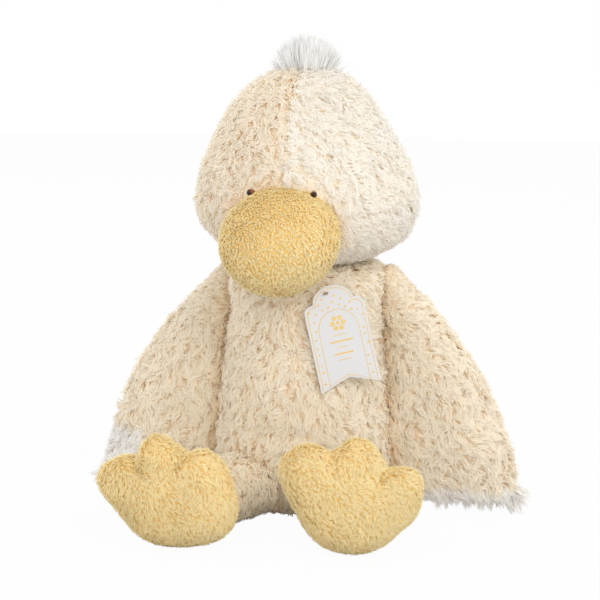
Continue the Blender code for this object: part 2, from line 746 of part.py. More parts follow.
def tag_frame():
    """The tag's middle, with X across it, Z up it and its face to -Y."""
    off = Matrix.Rotation(TAG_YAW, 4, "Z") @ Matrix.Translation((0.0, -TAG_OFF_MIDDLE, 0.0))
    aside = (TAG_OUT - TAG_OFF_MIDDLE * math.sin(TAG_YAW)) / math.cos(TAG_YAW)
    slide = Matrix.Translation((aside, 0.0, TAG_HEIGHT))
    tilt = Matrix.Rotation(-TAG_TILT, 4, "X") @ Matrix.Rotation(-TAG_ROLL, 4, "Y")
    return off @ slide @ tilt


def tag_hole_spot():
    """The middle of the tag's hole, in the tag's own frame."""
    return Vector((-TAG_HOLE_ASIDE, 0.0, TAG_LENGTH / 2 - TAG_HOLE_DOWN))


def tag_outline():
    """The card's edge: an arch between two rounded shoulders, straight sides and a notched foot."""
    half, tall = TAG_WIDTH / 2, TAG_LENGTH / 2
    base = tall - TAG_ARCH_RISE
    inset = half - TAG_ARCH_HALF
    right = []
    for turn in np.linspace(0.0, math.pi / 2, SHOULDER_POINTS):
        right.append((TAG_ARCH_HALF + inset * math.cos(turn), base - TAG_SHOULDER * (1 - math.sin(turn))))
    arch = []
    for turn in np.linspace(0.0, math.pi, ARCH_POINTS)[1:-1]:
        arch.append((TAG_ARCH_HALF * math.cos(turn), base + TAG_ARCH_RISE * math.sin(turn)))
    left = [(-x, z) for x, z in reversed(right)]
    return [(0.0, TAG_NOTCH - tall), (half, -tall), *right, *arch, *left, (-half, -tall)]


def prism_mesh(name, outline, thick):
    """An outline in X and Z, drawn out along Y to this thickness."""
    count = len(outline)
    points = [(x, y, z) for y in (-thick / 2, thick / 2) for x, z in outline]
    faces = [tuple(range(count)), tuple(range(count, 2 * count))[::-1]]
    for k in range(count):
        following = (k + 1) % count
        faces.append((k, k + count, following + count, following))
    mesh = bpy.data.meshes.new(name)
    mesh.from_pydata(points, [], faces)
    return mesh


def rod_mesh(name, radius, half_length, sides=ROD_SIDES):
    """A short round rod along X about its own middle."""
    points = []
    for x in (-half_length, half_length):
        for turn in np.arange(sides) * math.tau / sides:
            points.append((x, radius * math.cos(turn), radius * math.sin(turn)))
    faces = [tuple(range(sides))[::-1], tuple(range(sides, 2 * sides))]
    for k in range(sides):
        following = (k + 1) % sides
        faces.append((k, following, following + sides, k + sides))
    mesh = bpy.data.meshes.new(name)
    mesh.from_pydata(points, [], faces)
    return mesh


def make_tag(root, tag_pivot):
    """The bare hang tag, and the barbed nylon pin that holds it to the chest through its hole."""
    frame = tag_frame()
    sheet = prism_mesh("card", tag_outline(), TAG_THICK)
    card = piece("tag_card", sheet, frame, tag_pivot, TAG_CARD, CARD_ROUGHNESS)
    card.data.shade_flat()
    hole_spot = frame @ Matrix.Translation(tag_hole_spot())
    across = Matrix.Rotation(math.pi / 2, 4, "Z")
    punch = rod_mesh("tag_hole", TAG_HOLE_RADIUS, TAG_THICK * 2, HOLE_SIDES)
    cut(card, cutter("tag_hole", punch, hole_spot @ across, tag_pivot))
    reach = TAG_THICK / 2 + PIN_STAND_OFF
    middle = Matrix.Translation((0.0, (PIN_ROOT - reach) / 2, 0.0))
    shaft = rod_mesh("pin", PIN_RADIUS, (PIN_ROOT + reach) / 2)
    pin = piece("tag_pin", shaft, hole_spot @ middle @ across, root, NYLON, NYLON_ROUGHNESS)
    bar_at = hole_spot @ Matrix.Translation((0.0, -reach, 0.0))
    bar = cutter("pin_bar", rod_mesh("pin_bar", PIN_BAR_RADIUS, PIN_BAR_HALF), bar_at, root)
    joined = pin.modifiers.new("bar", "BOOLEAN")
    joined.operation = "UNION"
    joined.solver = "EXACT"
    joined.object = bar


def make_duck():
    """The whole duck: what stays still hangs from the seat, and each moving piece from its joint."""
    root = pivot("seat", (0.0, 0.0, 0.0))
    neck_pivot = pivot("neck_pivot", NECK_SPOT)
    nod_pivot = pivot("nod_pivot", NECK_SPOT)
    make_torso(root)
    wad = ball_mesh("neck_wad", NECK_RADIUS, *NECK_DETAIL)
    piece("neck_wad", wad, Matrix.Translation(NECK_SPOT), neck_pivot, FIBREFILL)
    make_head(nod_pivot)
    trunk = grown_cutter("trunk", TORSO, TORSO_PLACING, root, JOINT_ROOM)
    trunk_inside = grown_cutter("trunk_inside", TORSO, TORSO_PLACING, root, JOINT_ROOM + ROOM)
    for side, sign in SIDES.items():
        shoulder_spot = (sign * SHOULDER_OUT, SHOULDER_BEHIND, SHOULDER_HEIGHT)
        shoulder = pivot("shoulder_" + side, shoulder_spot)
        wing_form, wing_placing = make_wing(side, sign, shoulder, trunk, trunk_inside)
        make_fringe(side, sign, shoulder, wing_form, wing_placing)
        hip = pivot("hip_" + side, leg_frame(side, sign).translation)
        make_leg(side, sign, hip, trunk, trunk_inside)
        make_foot(side, sign, hip)
    tag_pivot = pivot("tag_pivot", tag_frame() @ tag_hole_spot())
    make_tag(root, tag_pivot)


clear_scene()
make_duck()
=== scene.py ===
"""The looks of a seated plush duck: wavy pile over padded cloth, a knit bill and feet, a white
crown tuft and wing fringes, bead eyes and a bare hang tag. Metres, in the frame of the CAD model.

Every soft form is worked out from the same rings as the CAD model. Its cloth is a grid on that
form, and its pile is made of clumps of thin strands that root on it.
"""

import itertools
import math
from typing import NamedTuple

import bmesh
import bpy
import numpy as np
from mathutils import Matrix, Vector


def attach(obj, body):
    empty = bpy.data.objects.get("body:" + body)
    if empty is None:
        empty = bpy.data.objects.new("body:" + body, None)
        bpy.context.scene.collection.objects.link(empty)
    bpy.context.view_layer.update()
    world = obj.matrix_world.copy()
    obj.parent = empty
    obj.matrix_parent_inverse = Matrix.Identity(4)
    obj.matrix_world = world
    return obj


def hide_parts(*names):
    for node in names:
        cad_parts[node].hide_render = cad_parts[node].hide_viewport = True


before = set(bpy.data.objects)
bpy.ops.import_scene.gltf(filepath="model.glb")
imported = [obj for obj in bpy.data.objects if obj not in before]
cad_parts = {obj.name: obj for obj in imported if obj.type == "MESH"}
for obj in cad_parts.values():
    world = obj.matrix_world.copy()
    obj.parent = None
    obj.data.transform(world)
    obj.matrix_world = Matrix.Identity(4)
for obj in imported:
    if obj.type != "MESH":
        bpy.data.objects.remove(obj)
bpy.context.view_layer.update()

# Sizes of the CAD model
TORSO_HEIGHT = 0.2045
SEAT_CUT = 0.0005
TORSO_REACH = (0.075, 0.075, 0.081, 0.072)
TORSO_SEAM_TURN = math.radians(9.6)
NECK_SPOT = Vector((0.0, 0.003, 0.2015))
HEAD_HEIGHT = 0.1525
HEAD_REACH = (0.089, 0.089, 0.080, 0.076)
HEAD_AHEAD = 0.006
HEAD_TURNED = math.radians(-5)
EYE_OUT = 0.0255
EYE_HEIGHT = TORSO_HEIGHT + 0.061
BILL_LENGTH = 0.088
BILL_REACH = (0.0465, 0.0465, 0.035, 0.036)
BILL_ROOT = (0.0, -0.060, TORSO_HEIGHT + 0.047)
BILL_DROOP = math.radians(32)
BILL_ASKEW = math.radians(1.5)
TUFT_HEIGHT = 0.042
TUFT_REACH = (0.0265, 0.0265, 0.016, 0.016)
TUFT_SUNK = 0.0125
SHOULDER_OUT = 0.0675
SHOULDER_BEHIND = 0.002
WING_BOTTOM = 0.013
WING_HEIGHT = 0.1855
WING_SPREAD = 0.058
WING_LEAN = 0.026
WING_OUTER = 0.048
WING_INNER = 0.052
WING_HALF_THICK = 0.018
FRINGE_DROP = 0.0105
FRINGE_OUT = 0.012
FRINGE_HEIGHT = 0.0205
FRINGE_REACH = (0.043, 0.043, 0.006, 0.006)
LEG_TOP = 0.046
LEG_REACH = (0.0285, 0.0285, 0.0215, 0.0215)
LEG_REACH_BACK = 0.052
LEG_LENGTH = 0.150
LEG_RISE = 0.006
HIP_OUT = 0.042
HIP_AHEAD = {"left": 0.0745, "right": 0.0700}
LEG_SPLAY = {"left": math.radians(13), "right": math.radians(22)}
FOOT_OUT = {"left": 0.0618, "right": 0.0812}
FOOT_AHEAD = 0.164
FOOT_HEIGHT = {"left": 0.0393, "right": 0.0385}
FOOT_HALF_WIDTH = 0.0401
FOOT_HALF_HEIGHT = 0.036
FOOT_SOLE = 0.024
FOOT_INSTEP = 0.021
FOOT_YAW = {"left": math.radians(6), "right": math.radians(10)}
FOOT_PITCH = math.radians(5)
TAG_WIDTH = 0.0495
TAG_LENGTH = 0.083
TAG_THICK = 0.0008
TAG_NOTCH = 0.0085
TAG_ARCH_RISE = 0.0125
TAG_ARCH_HALF = 0.0165
TAG_SHOULDER = 0.0055
TAG_HOLE = (-0.0045, 0.036)
TAG_OUT = 0.0375
TAG_OFF_MIDDLE = 0.0785
TAG_HEIGHT = 0.1515
TAG_YAW = math.radians(20)
TAG_TILT = math.radians(9)
TAG_ROLL = math.radians(11)

# Plain rules across the card: half their length, height, width
TAG_RULES = ((0.0060, 0.0015, 0.0006), (0.0095, -0.0035, 0.0014), (0.0042, -0.0085, 0.0006),
             (0.0078, -0.0135, 0.0014), (0.0050, -0.0185, 0.0006))

SIDES = {"left": 1, "right": -1}

# Shares of height from the bottom, then of the reach to the right, left, front and back. Every
# form also closes to a point at its foot and its top.
TORSO_SHARES = (
    (0.0, 0.45, 0.45, 0.45, 0.45),
    (0.020, 0.72, 0.72, 0.71, 0.74),
    (0.085, 0.93, 0.93, 0.92, 0.92),
    (0.230, 1.0, 1.0, 1.0, 1.0),
    (0.420, 0.965, 0.965, 1.0, 0.98),
    (0.600, 0.885, 0.885, 0.95, 0.92),
    (0.770, 0.825, 0.825, 0.85, 0.83),
    (0.890, 0.745, 0.745, 0.74, 0.73),
    (0.975, 0.54, 0.54, 0.53, 0.54),
)
HEAD_SHARES = (
    (0.010, 0.46, 0.46, 0.46, 0.46),
    (0.055, 0.70, 0.70, 0.70, 0.70),
    (0.150, 0.91, 0.91, 0.90, 0.90),
    (0.300, 1.0, 1.0, 0.99, 1.0),
    (0.430, 0.965, 0.965, 0.985, 1.0),
    (0.580, 0.870, 0.875, 0.93, 0.95),
    (0.740, 0.728, 0.745, 0.80, 0.83),
    (0.880, 0.540, 0.560, 0.60, 0.62),
    (0.970, 0.32, 0.32, 0.34, 0.36),
)
BILL_SHARES = (
    (0.04, 0.72, 0.72, 0.72, 0.72),
    (0.28, 0.96, 0.96, 0.96, 0.96),
    (0.48, 1.0, 1.0, 1.0, 1.0),
    (0.70, 0.89, 0.89, 0.92, 0.90),
    (0.90, 0.56, 0.56, 0.62, 0.58),
)
# A wing's shares run down from its shoulder: outer reach, inner reach, front and back
WING_SHARES = (
    (0.035, 0.20, 0.20, 0.50, 0.50),
    (0.135, 0.35, 0.32, 0.80, 0.80),
    (0.300, 0.61, 0.42, 0.95, 0.95),
    (0.470, 0.81, 0.58, 1.0, 1.0),
    (0.640, 0.93, 0.76, 1.0, 1.0),
    (0.800, 1.0, 0.93, 0.90, 0.90),
    (0.920, 1.0, 0.95, 0.64, 0.64),
    (0.985, 0.90, 0.72, 0.34, 0.34),
)
LEG_SHARES = (
    (0.05, 0.80, 0.80, 0.80, 0.80),
    (0.30, 1.0, 1.0, 1.0, 1.0),
    (0.62, 0.94, 0.94, 0.93, 0.93),
    (0.92, 0.84, 0.84, 0.84, 0.84),
)
# A foot's toes and pressed bulges: reach out of the oval, angle from the outer side, spread
FOOT_SWELLINGS = {
    "left": ((0.0246, 144, 28), (0.0137, 80, 21), (0.0133, 25, 16), (0.0098, 0, 20)),
    "right": ((0.0105, 139, 24), (0.0115, 77, 20), (0.0211, 14, 23), (0.0156, -170, 38)),
}
# The clefts between a foot's toes, as angles from the outer side
FOOT_CLEFTS = {"left": (115, 46), "right": (113, 49)}
# More filling in the toes than the CAD model has: reach, angle, spread
FOOT_FILLING = {
    "left": ((0.0032, 127, 8), (0.0030, 93, 9), (0.0018, 34, 8)),
    "right": ((0.0015, 37, 7), (0.0026, 68, 10), (0.0022, 125, 9)),
}

# The clefts are this wide, in degrees, and this deep
CLEFT_SPREAD = 6.0
CLEFT_DEPTH = 0.0020

# Steps of the curve between two rows of shares, and a short step over a form that finds its normal
CURVE_STEPS = 12
STEP = 0.002
# Lumps push a form out in full from this far off its axis
LUMPS_FROM = 0.02

# Places drawn for a panel's clumps, how deep these root, and how near strands come to the floor
DRAWN = 90000
ROOT_DEPTH = 0.0006
GROUND_GAP = 0.0003
# Points along the long strands of the tuft and the fringes, and their width
LONG_ROWS = 7
LONG_WIDTH = 0.0011
# Shares of a ribbon's shading: how far it follows the form under it, and how round it looks across
SOFTNESS = 0.65
ROUNDED = 0.45
# How light a strand's edge is, the light that its front and its back let through, how much painted
# shade darkens it where another form is near, and the steps in which that nearness is counted
EDGE_TONE = 0.4
TRANSLUCENCY = 0.32
BACK_TRANSLUCENCY = 0.7
NEAR_FORM_SHADE = 0.78
SHADE_NEAR_WITHIN = (0.003, 0.007, 0.012)

# Thickness of plush and of knit cloth
CLOTH = 0.003
KNIT = 0.0025

# Where pile ends: about the neck, at the head's foot, the trunk's top and the seat
NECK_BARE = 0.036
HEAD_BARE_BELOW = 0.216
TORSO_BARE_ABOVE = 0.197
SEAT_BARE_BELOW = 0.0015
# How far pile and knit keep from an eye's middle
EYE_ROOM = 0.0050
EYE_KNIT_ROOM = 0.0042
# How far pile keeps off the bill, and how far knit goes into the head, pile goes in at a wing's or
# a leg's root, and a leg's pile goes into the trunk
OFF_BILL = 0.0004
INTO_HEAD = 0.0015
INTO_ROOT = 0.001
INTO_TRUNK = 0.016
# White pile grows on a wing below this height, and on the right wing's folded corner
WHITE_BELOW = 0.024
FOLD_OUT = -0.128
FOLD_HEIGHT = 0.060
FOLD_SLOPE = 0.10
FOLD_MIDDLE = -0.165

# A wing's outer edge, by side: where it is fullest and how far that spreads, then what its foot and
# its upper part lack
WING_FULLNESS = {1: (0.42, 0.40, 0.0, 0.0), -1: (0.50, 0.22, 0.0015, 0.002)}

# The crown tuft: its locks, the strands in each, and where a lock that strays to the side ends
TUFT_LOCKS = 340
TUFT_STRANDS = 13
TUFT_STRAY = (-0.029, -0.004, 0.016)
# A wing's fringe: its small tufts, the strands in each, and the locks that these gather into
FRINGE_TUFTS = 190
FRINGE_STRANDS = 12
FRINGE_LOCKS = 19
# By side: seed, how far the fringe flares outside, narrows there at its root, and strays
FRINGE_FLARE = {"left": (8, 0.008, 0.0, 0.006), "right": (9, -0.010, 0.12, 0.018)}

# An eye's profile in millimetres: radii and rises, and how far it sits above its spot
EYE_RADII = (0.0, 2.2, 2.55, 2.6, 2.45, 2.15, 1.9, 1.4, 0.8, 0.0)
EYE_RISES = (-2.0, -2.0, -1.0, 1.8, 2.3, 2.6, 3.4, 4.1, 4.5, 4.6)
EYE_RAISED = 0.0011

# The card's print: its height over the card, the border's inset, and the lines' widths
PRINT_LIFT = 0.00008
BORDER_INSET = 0.0021
BORDER_LINE = 0.0007
PANEL_LINE = 0.0006
# The inner panel: half its width, how far its arch springs below the card's top, and its foot
PANEL_HALF = 0.0165
PANEL_DROP = 0.036
PANEL_FOOT = 0.0035
# Dots: how many are tried, over what half field, their limits, their distance apart and from the
# hole, the room round the panel, and their least and largest radius
DOTS_TRIED = 1600
DOT_FIELD = (0.022, 0.040)
DOT_SIDE = 0.0212
DOT_FOOT = -0.036
DOT_APART = 0.0050
DOT_FROM_HOLE = 0.0035
DOT_ROOM = 0.0186
DOT_RADII = (0.0008, 0.0011)
# The arch over the dots: half its width, its rise, and how far it lies inside the card's shoulder
DOT_ARCH = (0.0145, 0.0105, 0.0055)
# The flower: its height on the card, how far its petals stand from it, their number and radii
FLOWER_HEIGHT = 0.0110
PETAL_OUT = 0.0046
PETALS = 6
PETAL_RADIUS = 0.0020
FLOWER_RADIUS = 0.0016
FLOWER_SIDES = 14

# Half the floor's side, and how much of plain white the camera sees in it
FLOOR_HALF = 3.0
FLOOR_SHOWN = 0.96
# The camera: its aim, turn, lift and distance, its lens and sensor in millimetres, and how near
# it sees
AIM = Vector((-0.004, -0.020, 0.171))
CAMERA_TURN = math.radians(10)
CAMERA_LIFT = math.radians(10)
CAMERA_FAR = 1.8
LENS = 131.7
SENSOR = 36.0
CLIP_NEAR = 0.05
# The lamps look at one place, and each has its own place, size, watts and colour
LAMPS_AIM = Vector((0.0, 0.0, 0.17))
LAMPS = {
    "key": ((1.35, -1.35, 1.35), 1.3, 16.0, (1.0, 0.985, 0.96)),
    "fill": ((-1.8, -0.7, 0.8), 1.2, 6.0, (0.98, 0.985, 1.0)),
    "front": ((0.4, -2.2, 0.95), 1.6, 7.5, (1.0, 0.99, 0.975)),
    "rear": ((-1.3, 1.4, 1.2), 1.2, 10.0, (1.0, 1.0, 1.0)),
    "far rear": ((1.4, 1.4, 1.2), 1.2, 7.0, (1.0, 1.0, 1.0)),
}
SKY = (1.0, 0.985, 0.965, 1.0)
SKY_STRENGTH = 0.73
# Plain white, and the floor's own grey
PLAIN_WHITE = (1.0, 1.0, 1.0, 1.0)
FLOOR_GREY = (0.72, 0.72, 0.72, 1.0)
# Enough bounces for light to get out of the pile's depth again
DIFFUSE_BOUNCES = 12

# Colours as linear red, green and blue: at the root of the pile, halfway and at its tips
CREAM = ((0.96, 0.86, 0.70), (0.965, 0.93, 0.86), (0.97, 0.955, 0.92))
CREAM_SHADED = ((0.96, 0.79, 0.58), (0.97, 0.90, 0.78), (0.97, 0.93, 0.84))
BEIGE = ((0.92, 0.74, 0.51), (0.965, 0.90, 0.77), (0.975, 0.94, 0.85))
YELLOW = ((0.86, 0.63, 0.24), (0.95, 0.82, 0.46), (0.975, 0.92, 0.67))
TUFT_WHITE = ((0.91, 0.89, 0.85), (0.94, 0.94, 0.93), (0.955, 0.955, 0.95))
FRINGE_WHITE = ((0.94, 0.90, 0.85), (0.965, 0.95, 0.925), (0.985, 0.98, 0.97))


def sub_map(array, matrix):
    """Points moved to a place, as a 4 by 4 matrix says."""
    m = np.array(matrix)
    return array @ m[:3, :3].T + m[:3, 3]


def unit(vectors):
    """Vectors at length 1."""
    return vectors / np.maximum(np.linalg.norm(vectors, axis=-1, keepdims=True), 1e-12)


def eased(value, middle, width, full=1.0):
    """A soft step from 0 to full about a middle value: full over 1 plus an exponential."""
    return full / (1 + np.exp(-(value - middle) / width))


def bell(value, middle, spread):
    """A bell curve that is 1 at a middle value."""
    return np.exp(-(((value - middle) / spread) ** 2))


def swellings(turn, rows):
    """A sum of bell curves round a ring, each with its reach, angle and spread in degrees."""
    total = np.zeros_like(turn)
    for reach, angle, spread in rows:
        away = (np.degrees(turn) - angle + 180) % 360 - 180
        total = total + reach * bell(away, 0, spread)
    return total


def noise(places, size, seed):
    """Smooth noise from -1 to 1: random values on a cubic lattice of this size, eased between."""
    table = np.random.default_rng(seed).random(4096) * 2 - 1
    spots = places / size
    cell = np.floor(spots).astype(np.int64)
    part = spots - cell
    part = part * part * (3 - 2 * part)
    total = np.zeros(places.shape[:-1])
    for corner in itertools.product((0, 1), repeat=3):
        x, y, z = np.moveaxis(cell + np.array(corner), -1, 0)
        value = table[(x * 73856093 ^ y * 19349663 ^ z * 83492791) & 4095]
        total += value * np.prod(np.where(corner, part, 1 - part), axis=-1)
    return total


def dense_shares(shares):
    """A Catmull-Rom curve through the shares and the two poles, mirrored in the axis at both poles
    so that they are round."""
    rows = np.vstack([(0.0, 0.0, 0.0, 0.0, 0.0), shares, (1.0, 0.0, 0.0, 0.0, 0.0)])
    flip = np.array([1.0, -1.0, -1.0, -1.0, -1.0])
    rows = np.vstack([rows[1] * flip, rows, rows[-2] * flip])
    before, start, end, after = rows[:-3], rows[1:-2], rows[2:-1], rows[3:]
    curve = []
    for t in np.arange(CURVE_STEPS) / CURVE_STEPS:
        curve.append(
            start
            + (end - before) * t / 2
            + (before * 2 - start * 5 + end * 4 - after) * t**2 / 2
            + (start * 3 - before - end * 3 + after) * t**3 / 2
        )
    table = np.stack(curve, axis=1).reshape(-1, rows.shape[1])
    return np.vstack([table, rows[-2]])


class Skin(NamedTuple):
    """A ringed form in its place: its table of shares, height, four reaches, lean and lumps."""

    table: np.ndarray
    height: float
    reach: tuple
    lean: tuple
    placing: np.ndarray
    lumps: object


def ringed(shares, height, reach, placing, lumps, lean=(0.0, 0.0)):
    """A skin from a table of shares."""
    return Skin(dense_shares(shares), height, reach, lean, np.array(placing), lumps)


def form_points(skin, up, turn):
    """A form's surface: up runs along its rows from 0 to 1 and turn goes round each ring, whose
    four quarters are quarter ellipses of their own reach. The lumps push it out along the ring's
    radius."""
    index = np.linspace(0.0, 1.0, len(skin.table))
    rise, right, left, front, back = (np.interp(up, index, column) for column in skin.table.T)
    across, along = np.cos(turn), np.sin(turn)
    x = np.where(across > 0, right * skin.reach[0], left * skin.reach[1]) * across
    y = np.where(along > 0, back * skin.reach[3], front * skin.reach[2]) * along
    lean_x, lean_y = rise * skin.lean[0], rise * skin.lean[1]
    local = np.stack([x + lean_x, y + lean_y, rise * skin.height], axis=-1)
    far = np.hypot(x, y)
    push = skin.lumps(sub_map(local, skin.placing)) * np.minimum(1.0, far / LUMPS_FROM)
    scale = push / np.maximum(far, 1e-6)
    local[..., 0] += x * scale
    local[..., 1] += y * scale
    return sub_map(local, skin.placing)


def inside(skin, places, grown=0.0):
    """Whether places lie inside a form, grown by this much."""
    back = np.linalg.inv(skin.placing)
    local = sub_map(places, back)
    rise = local[..., 2] / skin.height
    rows = [np.interp(rise, skin.table[:, 0], column) for column in skin.table.T[1:]]
    x = local[..., 0] - rise * skin.lean[0]
    y = local[..., 1] - rise * skin.lean[1]
    wide = np.where(x > 0, rows[0] * skin.reach[0], rows[1] * skin.reach[1]) + grown
    deep = np.where(y > 0, rows[3] * skin.reach[3], rows[2] * skin.reach[2]) + grown
    within = (x / np.maximum(wide, 1e-4)) ** 2 + (y / np.maximum(deep, 1e-4)) ** 2 < 1
    return within & (rise > -grown / skin.height) & (rise < 1 + grown / skin.height)


class Foot(NamedTuple):
    """A foot in its place."""

    side: str
    placing: np.ndarray
    lumps: object


def foot_oval(turn):
    """The ellipse of a foot's outline: its radius at a turn."""
    across, upward = np.cos(turn) / FOOT_HALF_WIDTH, np.sin(turn) / FOOT_HALF_HEIGHT
    return 1 / np.sqrt(across**2 + upward**2)


def foot_points(foot, up, turn):
    """A puffed foot. Up runs from the middle of the sole to the middle of the instep. Its outline
    is an ellipse with a bell-shaped swelling for each toe, and the toes puff out between soft
    grooves."""
    lie = up * math.pi
    rim = np.sin(lie)
    toes = swellings(turn, (*FOOT_SWELLINGS[foot.side], *FOOT_FILLING[foot.side]))
    cleft = swellings(turn, [(1.0, angle, CLEFT_SPREAD) for angle in FOOT_CLEFTS[foot.side]])
    radius = foot_oval(turn) * rim**0.8 + toes * rim**2 - CLEFT_DEPTH * cleft * rim**2
    thick = np.where(up < 0.5, FOOT_SOLE, FOOT_INSTEP)
    near_toes = eased(np.sin(turn), 0.25, 0.12)
    puff = (0.0042 * near_toes * (1 - cleft) - 0.0016 * cleft) * bell(rim, 0.82, 0.20)
    flat = np.abs(np.cos(lie))
    y = -np.sign(np.cos(lie)) * np.maximum(thick * flat + puff * flat**0.5, 0.0)
    x = SIDES[foot.side] * radius * np.cos(turn)
    points = sub_map(np.stack([x, y, radius * np.sin(turn)], axis=-1), foot.placing)
    middle = foot.placing[:3, 3]
    return points + unit(points - middle) * foot.lumps(points)[..., None]


def inside_foot(foot, places):
    """Whether places lie inside a foot."""
    local = sub_map(places, np.linalg.inv(foot.placing))
    thick = np.where(local[..., 1] < 0, FOOT_SOLE, FOOT_INSTEP)
    rim = np.sqrt(np.clip(1 - (local[..., 1] / thick) ** 2, 0.0, 1.0))
    turn = np.arctan2(local[..., 2], SIDES[foot.side] * local[..., 0])
    toes = swellings(turn, FOOT_SWELLINGS[foot.side])
    far = np.hypot(local[..., 0], local[..., 2])
    return (far < foot_oval(turn) * rim**0.8 + toes * rim**2) & (np.abs(local[..., 1]) < thick)


def surface(skin, up, turn):
    """The points of a form or of a foot."""
    points = foot_points if isinstance(skin, Foot) else form_points
    return points(skin, up, turn)


def normals_at(skin, up, turn):
    """Points, and the outward unit normal at each: across two short steps on the surface."""
    here = surface(skin, up, turn)
    ahead = surface(skin, np.minimum(up + STEP, 1.0), turn)
    behind = surface(skin, np.maximum(up - STEP, 0.0), turn)
    round_it = surface(skin, up, turn + STEP) - surface(skin, up, turn - STEP)
    normal = np.cross(round_it, ahead - behind)
    size = np.linalg.norm(normal, axis=-1)
    middle = skin.placing[:3, 3]
    if isinstance(skin, Skin):
        local = np.stack([up * skin.lean[0], up * skin.lean[1], up * skin.height], axis=-1)
        middle = sub_map(local, skin.placing)
    sign = np.sign(np.sum(normal * (here - middle), axis=-1))
    return here, unit(normal) * np.where(sign == 0, 1.0, sign)[..., None], size


def mesh_object(name, points, corners, counts, material):
    """An object from points and faces: corners lists the faces' points, counts how many each
    has."""
    mesh = bpy.data.meshes.new(name)
    mesh.vertices.add(len(points))
    mesh.vertices.foreach_set("co", np.ascontiguousarray(points, dtype=np.float32).ravel())
    mesh.loops.add(len(corners))
    mesh.loops.foreach_set("vertex_index", corners.astype(np.int32))
    mesh.polygons.add(len(counts))
    starts = np.concatenate([[0], np.cumsum(counts)[:-1]]).astype(np.int32)
    mesh.polygons.foreach_set("loop_start", starts)
    mesh.polygons.foreach_set("use_smooth", np.ones(len(counts), dtype=bool))
    mesh.update(calc_edges=True)
    mesh.validate()
    obj = bpy.data.objects.new(name, mesh)
    bpy.context.scene.collection.objects.link(obj)
    mesh.materials.append(material)
    return obj


def set_map(obj, places):
    """An object's own map, from the place of each corner of its faces."""
    layer = obj.data.uv_layers.new(name="OFBake")
    layer.data.foreach_set("uv", places.astype(np.float32).ravel())


def grid_object(name, points, material):
    """An object from a grid of points, row by row, with its own map. Rows that shrink to a point
    are merged."""
    rows, columns = points.shape[:2]
    low = (np.arange(rows - 1)[:, None] * columns + np.arange(columns - 1)).ravel()
    corners = np.stack([low, low + 1, low + columns + 1, low + columns], axis=-1).ravel()
    obj = mesh_object(name, points.reshape(-1, 3), corners, np.full(len(low), 4), material)
    u, v = np.meshgrid(np.linspace(0.02, 0.98, columns), np.linspace(0.02, 0.98, rows))
    set_map(obj, np.stack([u.ravel(), v.ravel()], axis=-1)[corners])
    form = bmesh.new()
    form.from_mesh(obj.data)
    bmesh.ops.remove_doubles(form, verts=form.verts, dist=0.00002)
    form.to_mesh(obj.data)
    form.free()
    return obj


def outward(obj, middle):
    """Turns a whole shell round if its faces point to its middle."""
    mesh = obj.data
    centres = np.empty(len(mesh.polygons) * 3, dtype=np.float32)
    normals = np.empty(len(mesh.polygons) * 3, dtype=np.float32)
    mesh.polygons.foreach_get("center", centres)
    mesh.polygons.foreach_get("normal", normals)
    away = centres.reshape(-1, 3) - np.array(middle)
    if np.sum(away * normals.reshape(-1, 3)) < 0:
        mesh.flip_normals()


def cloth_object(name, skin, span, detail, thick, material):
    """A panel of cloth: a grid over part of a skin, given its thickness inwards."""
    ups = np.linspace(span[0], span[1], detail[0])
    turns = np.linspace(span[2], span[3], detail[1])
    up, turn = np.meshgrid(ups, turns, indexing="ij")
    points = surface(skin, up, turn)
    points[..., 2] = np.maximum(points[..., 2], 0.0)
    obj = grid_object(name, points, material)
    outward(obj, points.reshape(-1, 3).mean(axis=0))
    wall = obj.modifiers.new("wall", "SOLIDIFY")
    wall.thickness = thick
    wall.offset = -1.0
    return obj


class Pile(NamedTuple):
    """How a pile is made: the pitch of its clumps, strands in each, the clump's radius, how much it
    closes to its tip, then a strand's length, stand, width, waves, their size, how it lies round a
    curve, and rows of points."""

    pitch: float
    strands: int
    spread: float
    closing: float
    length: float
    stand: float
    width: float
    waves: float
    sway: float
    roundness: float
    rows: int = 5


def roots(rng, skin, span, pile, keep):
    """Places for clumps, spread evenly over a skin: many are drawn, each is kept in proportion to
    the area it stands for, one to each cell of a cubic lattice, and none where keep refuses it."""
    up = rng.uniform(span[0], span[1], DRAWN)
    turn = rng.uniform(span[2], span[3], DRAWN)
    here, normal, size = normals_at(skin, up, turn)
    even = rng.random(DRAWN) < size / np.quantile(size, 0.98)
    here, normal = here[even], normal[even]
    first = np.unique(np.floor(here / pile.pitch).astype(np.int64), axis=0, return_index=True)[1]
    here, normal = here[first], normal[first]
    grows = keep(here)
    return here[grows], normal[grows]


def combed(rng, here, normal, way, swirl, seed):
    """The direction in which the pile lies: way, laid into the surface and turned by noise."""
    lie = unit(way - normal * np.sum(way * normal, axis=-1, keepdims=True))
    angle = swirl[0] * noise(here, swirl[1], seed) + swirl[2] * rng.standard_normal(len(here))
    return lie * np.cos(angle)[:, None] + np.cross(normal, lie) * np.sin(angle)[:, None]


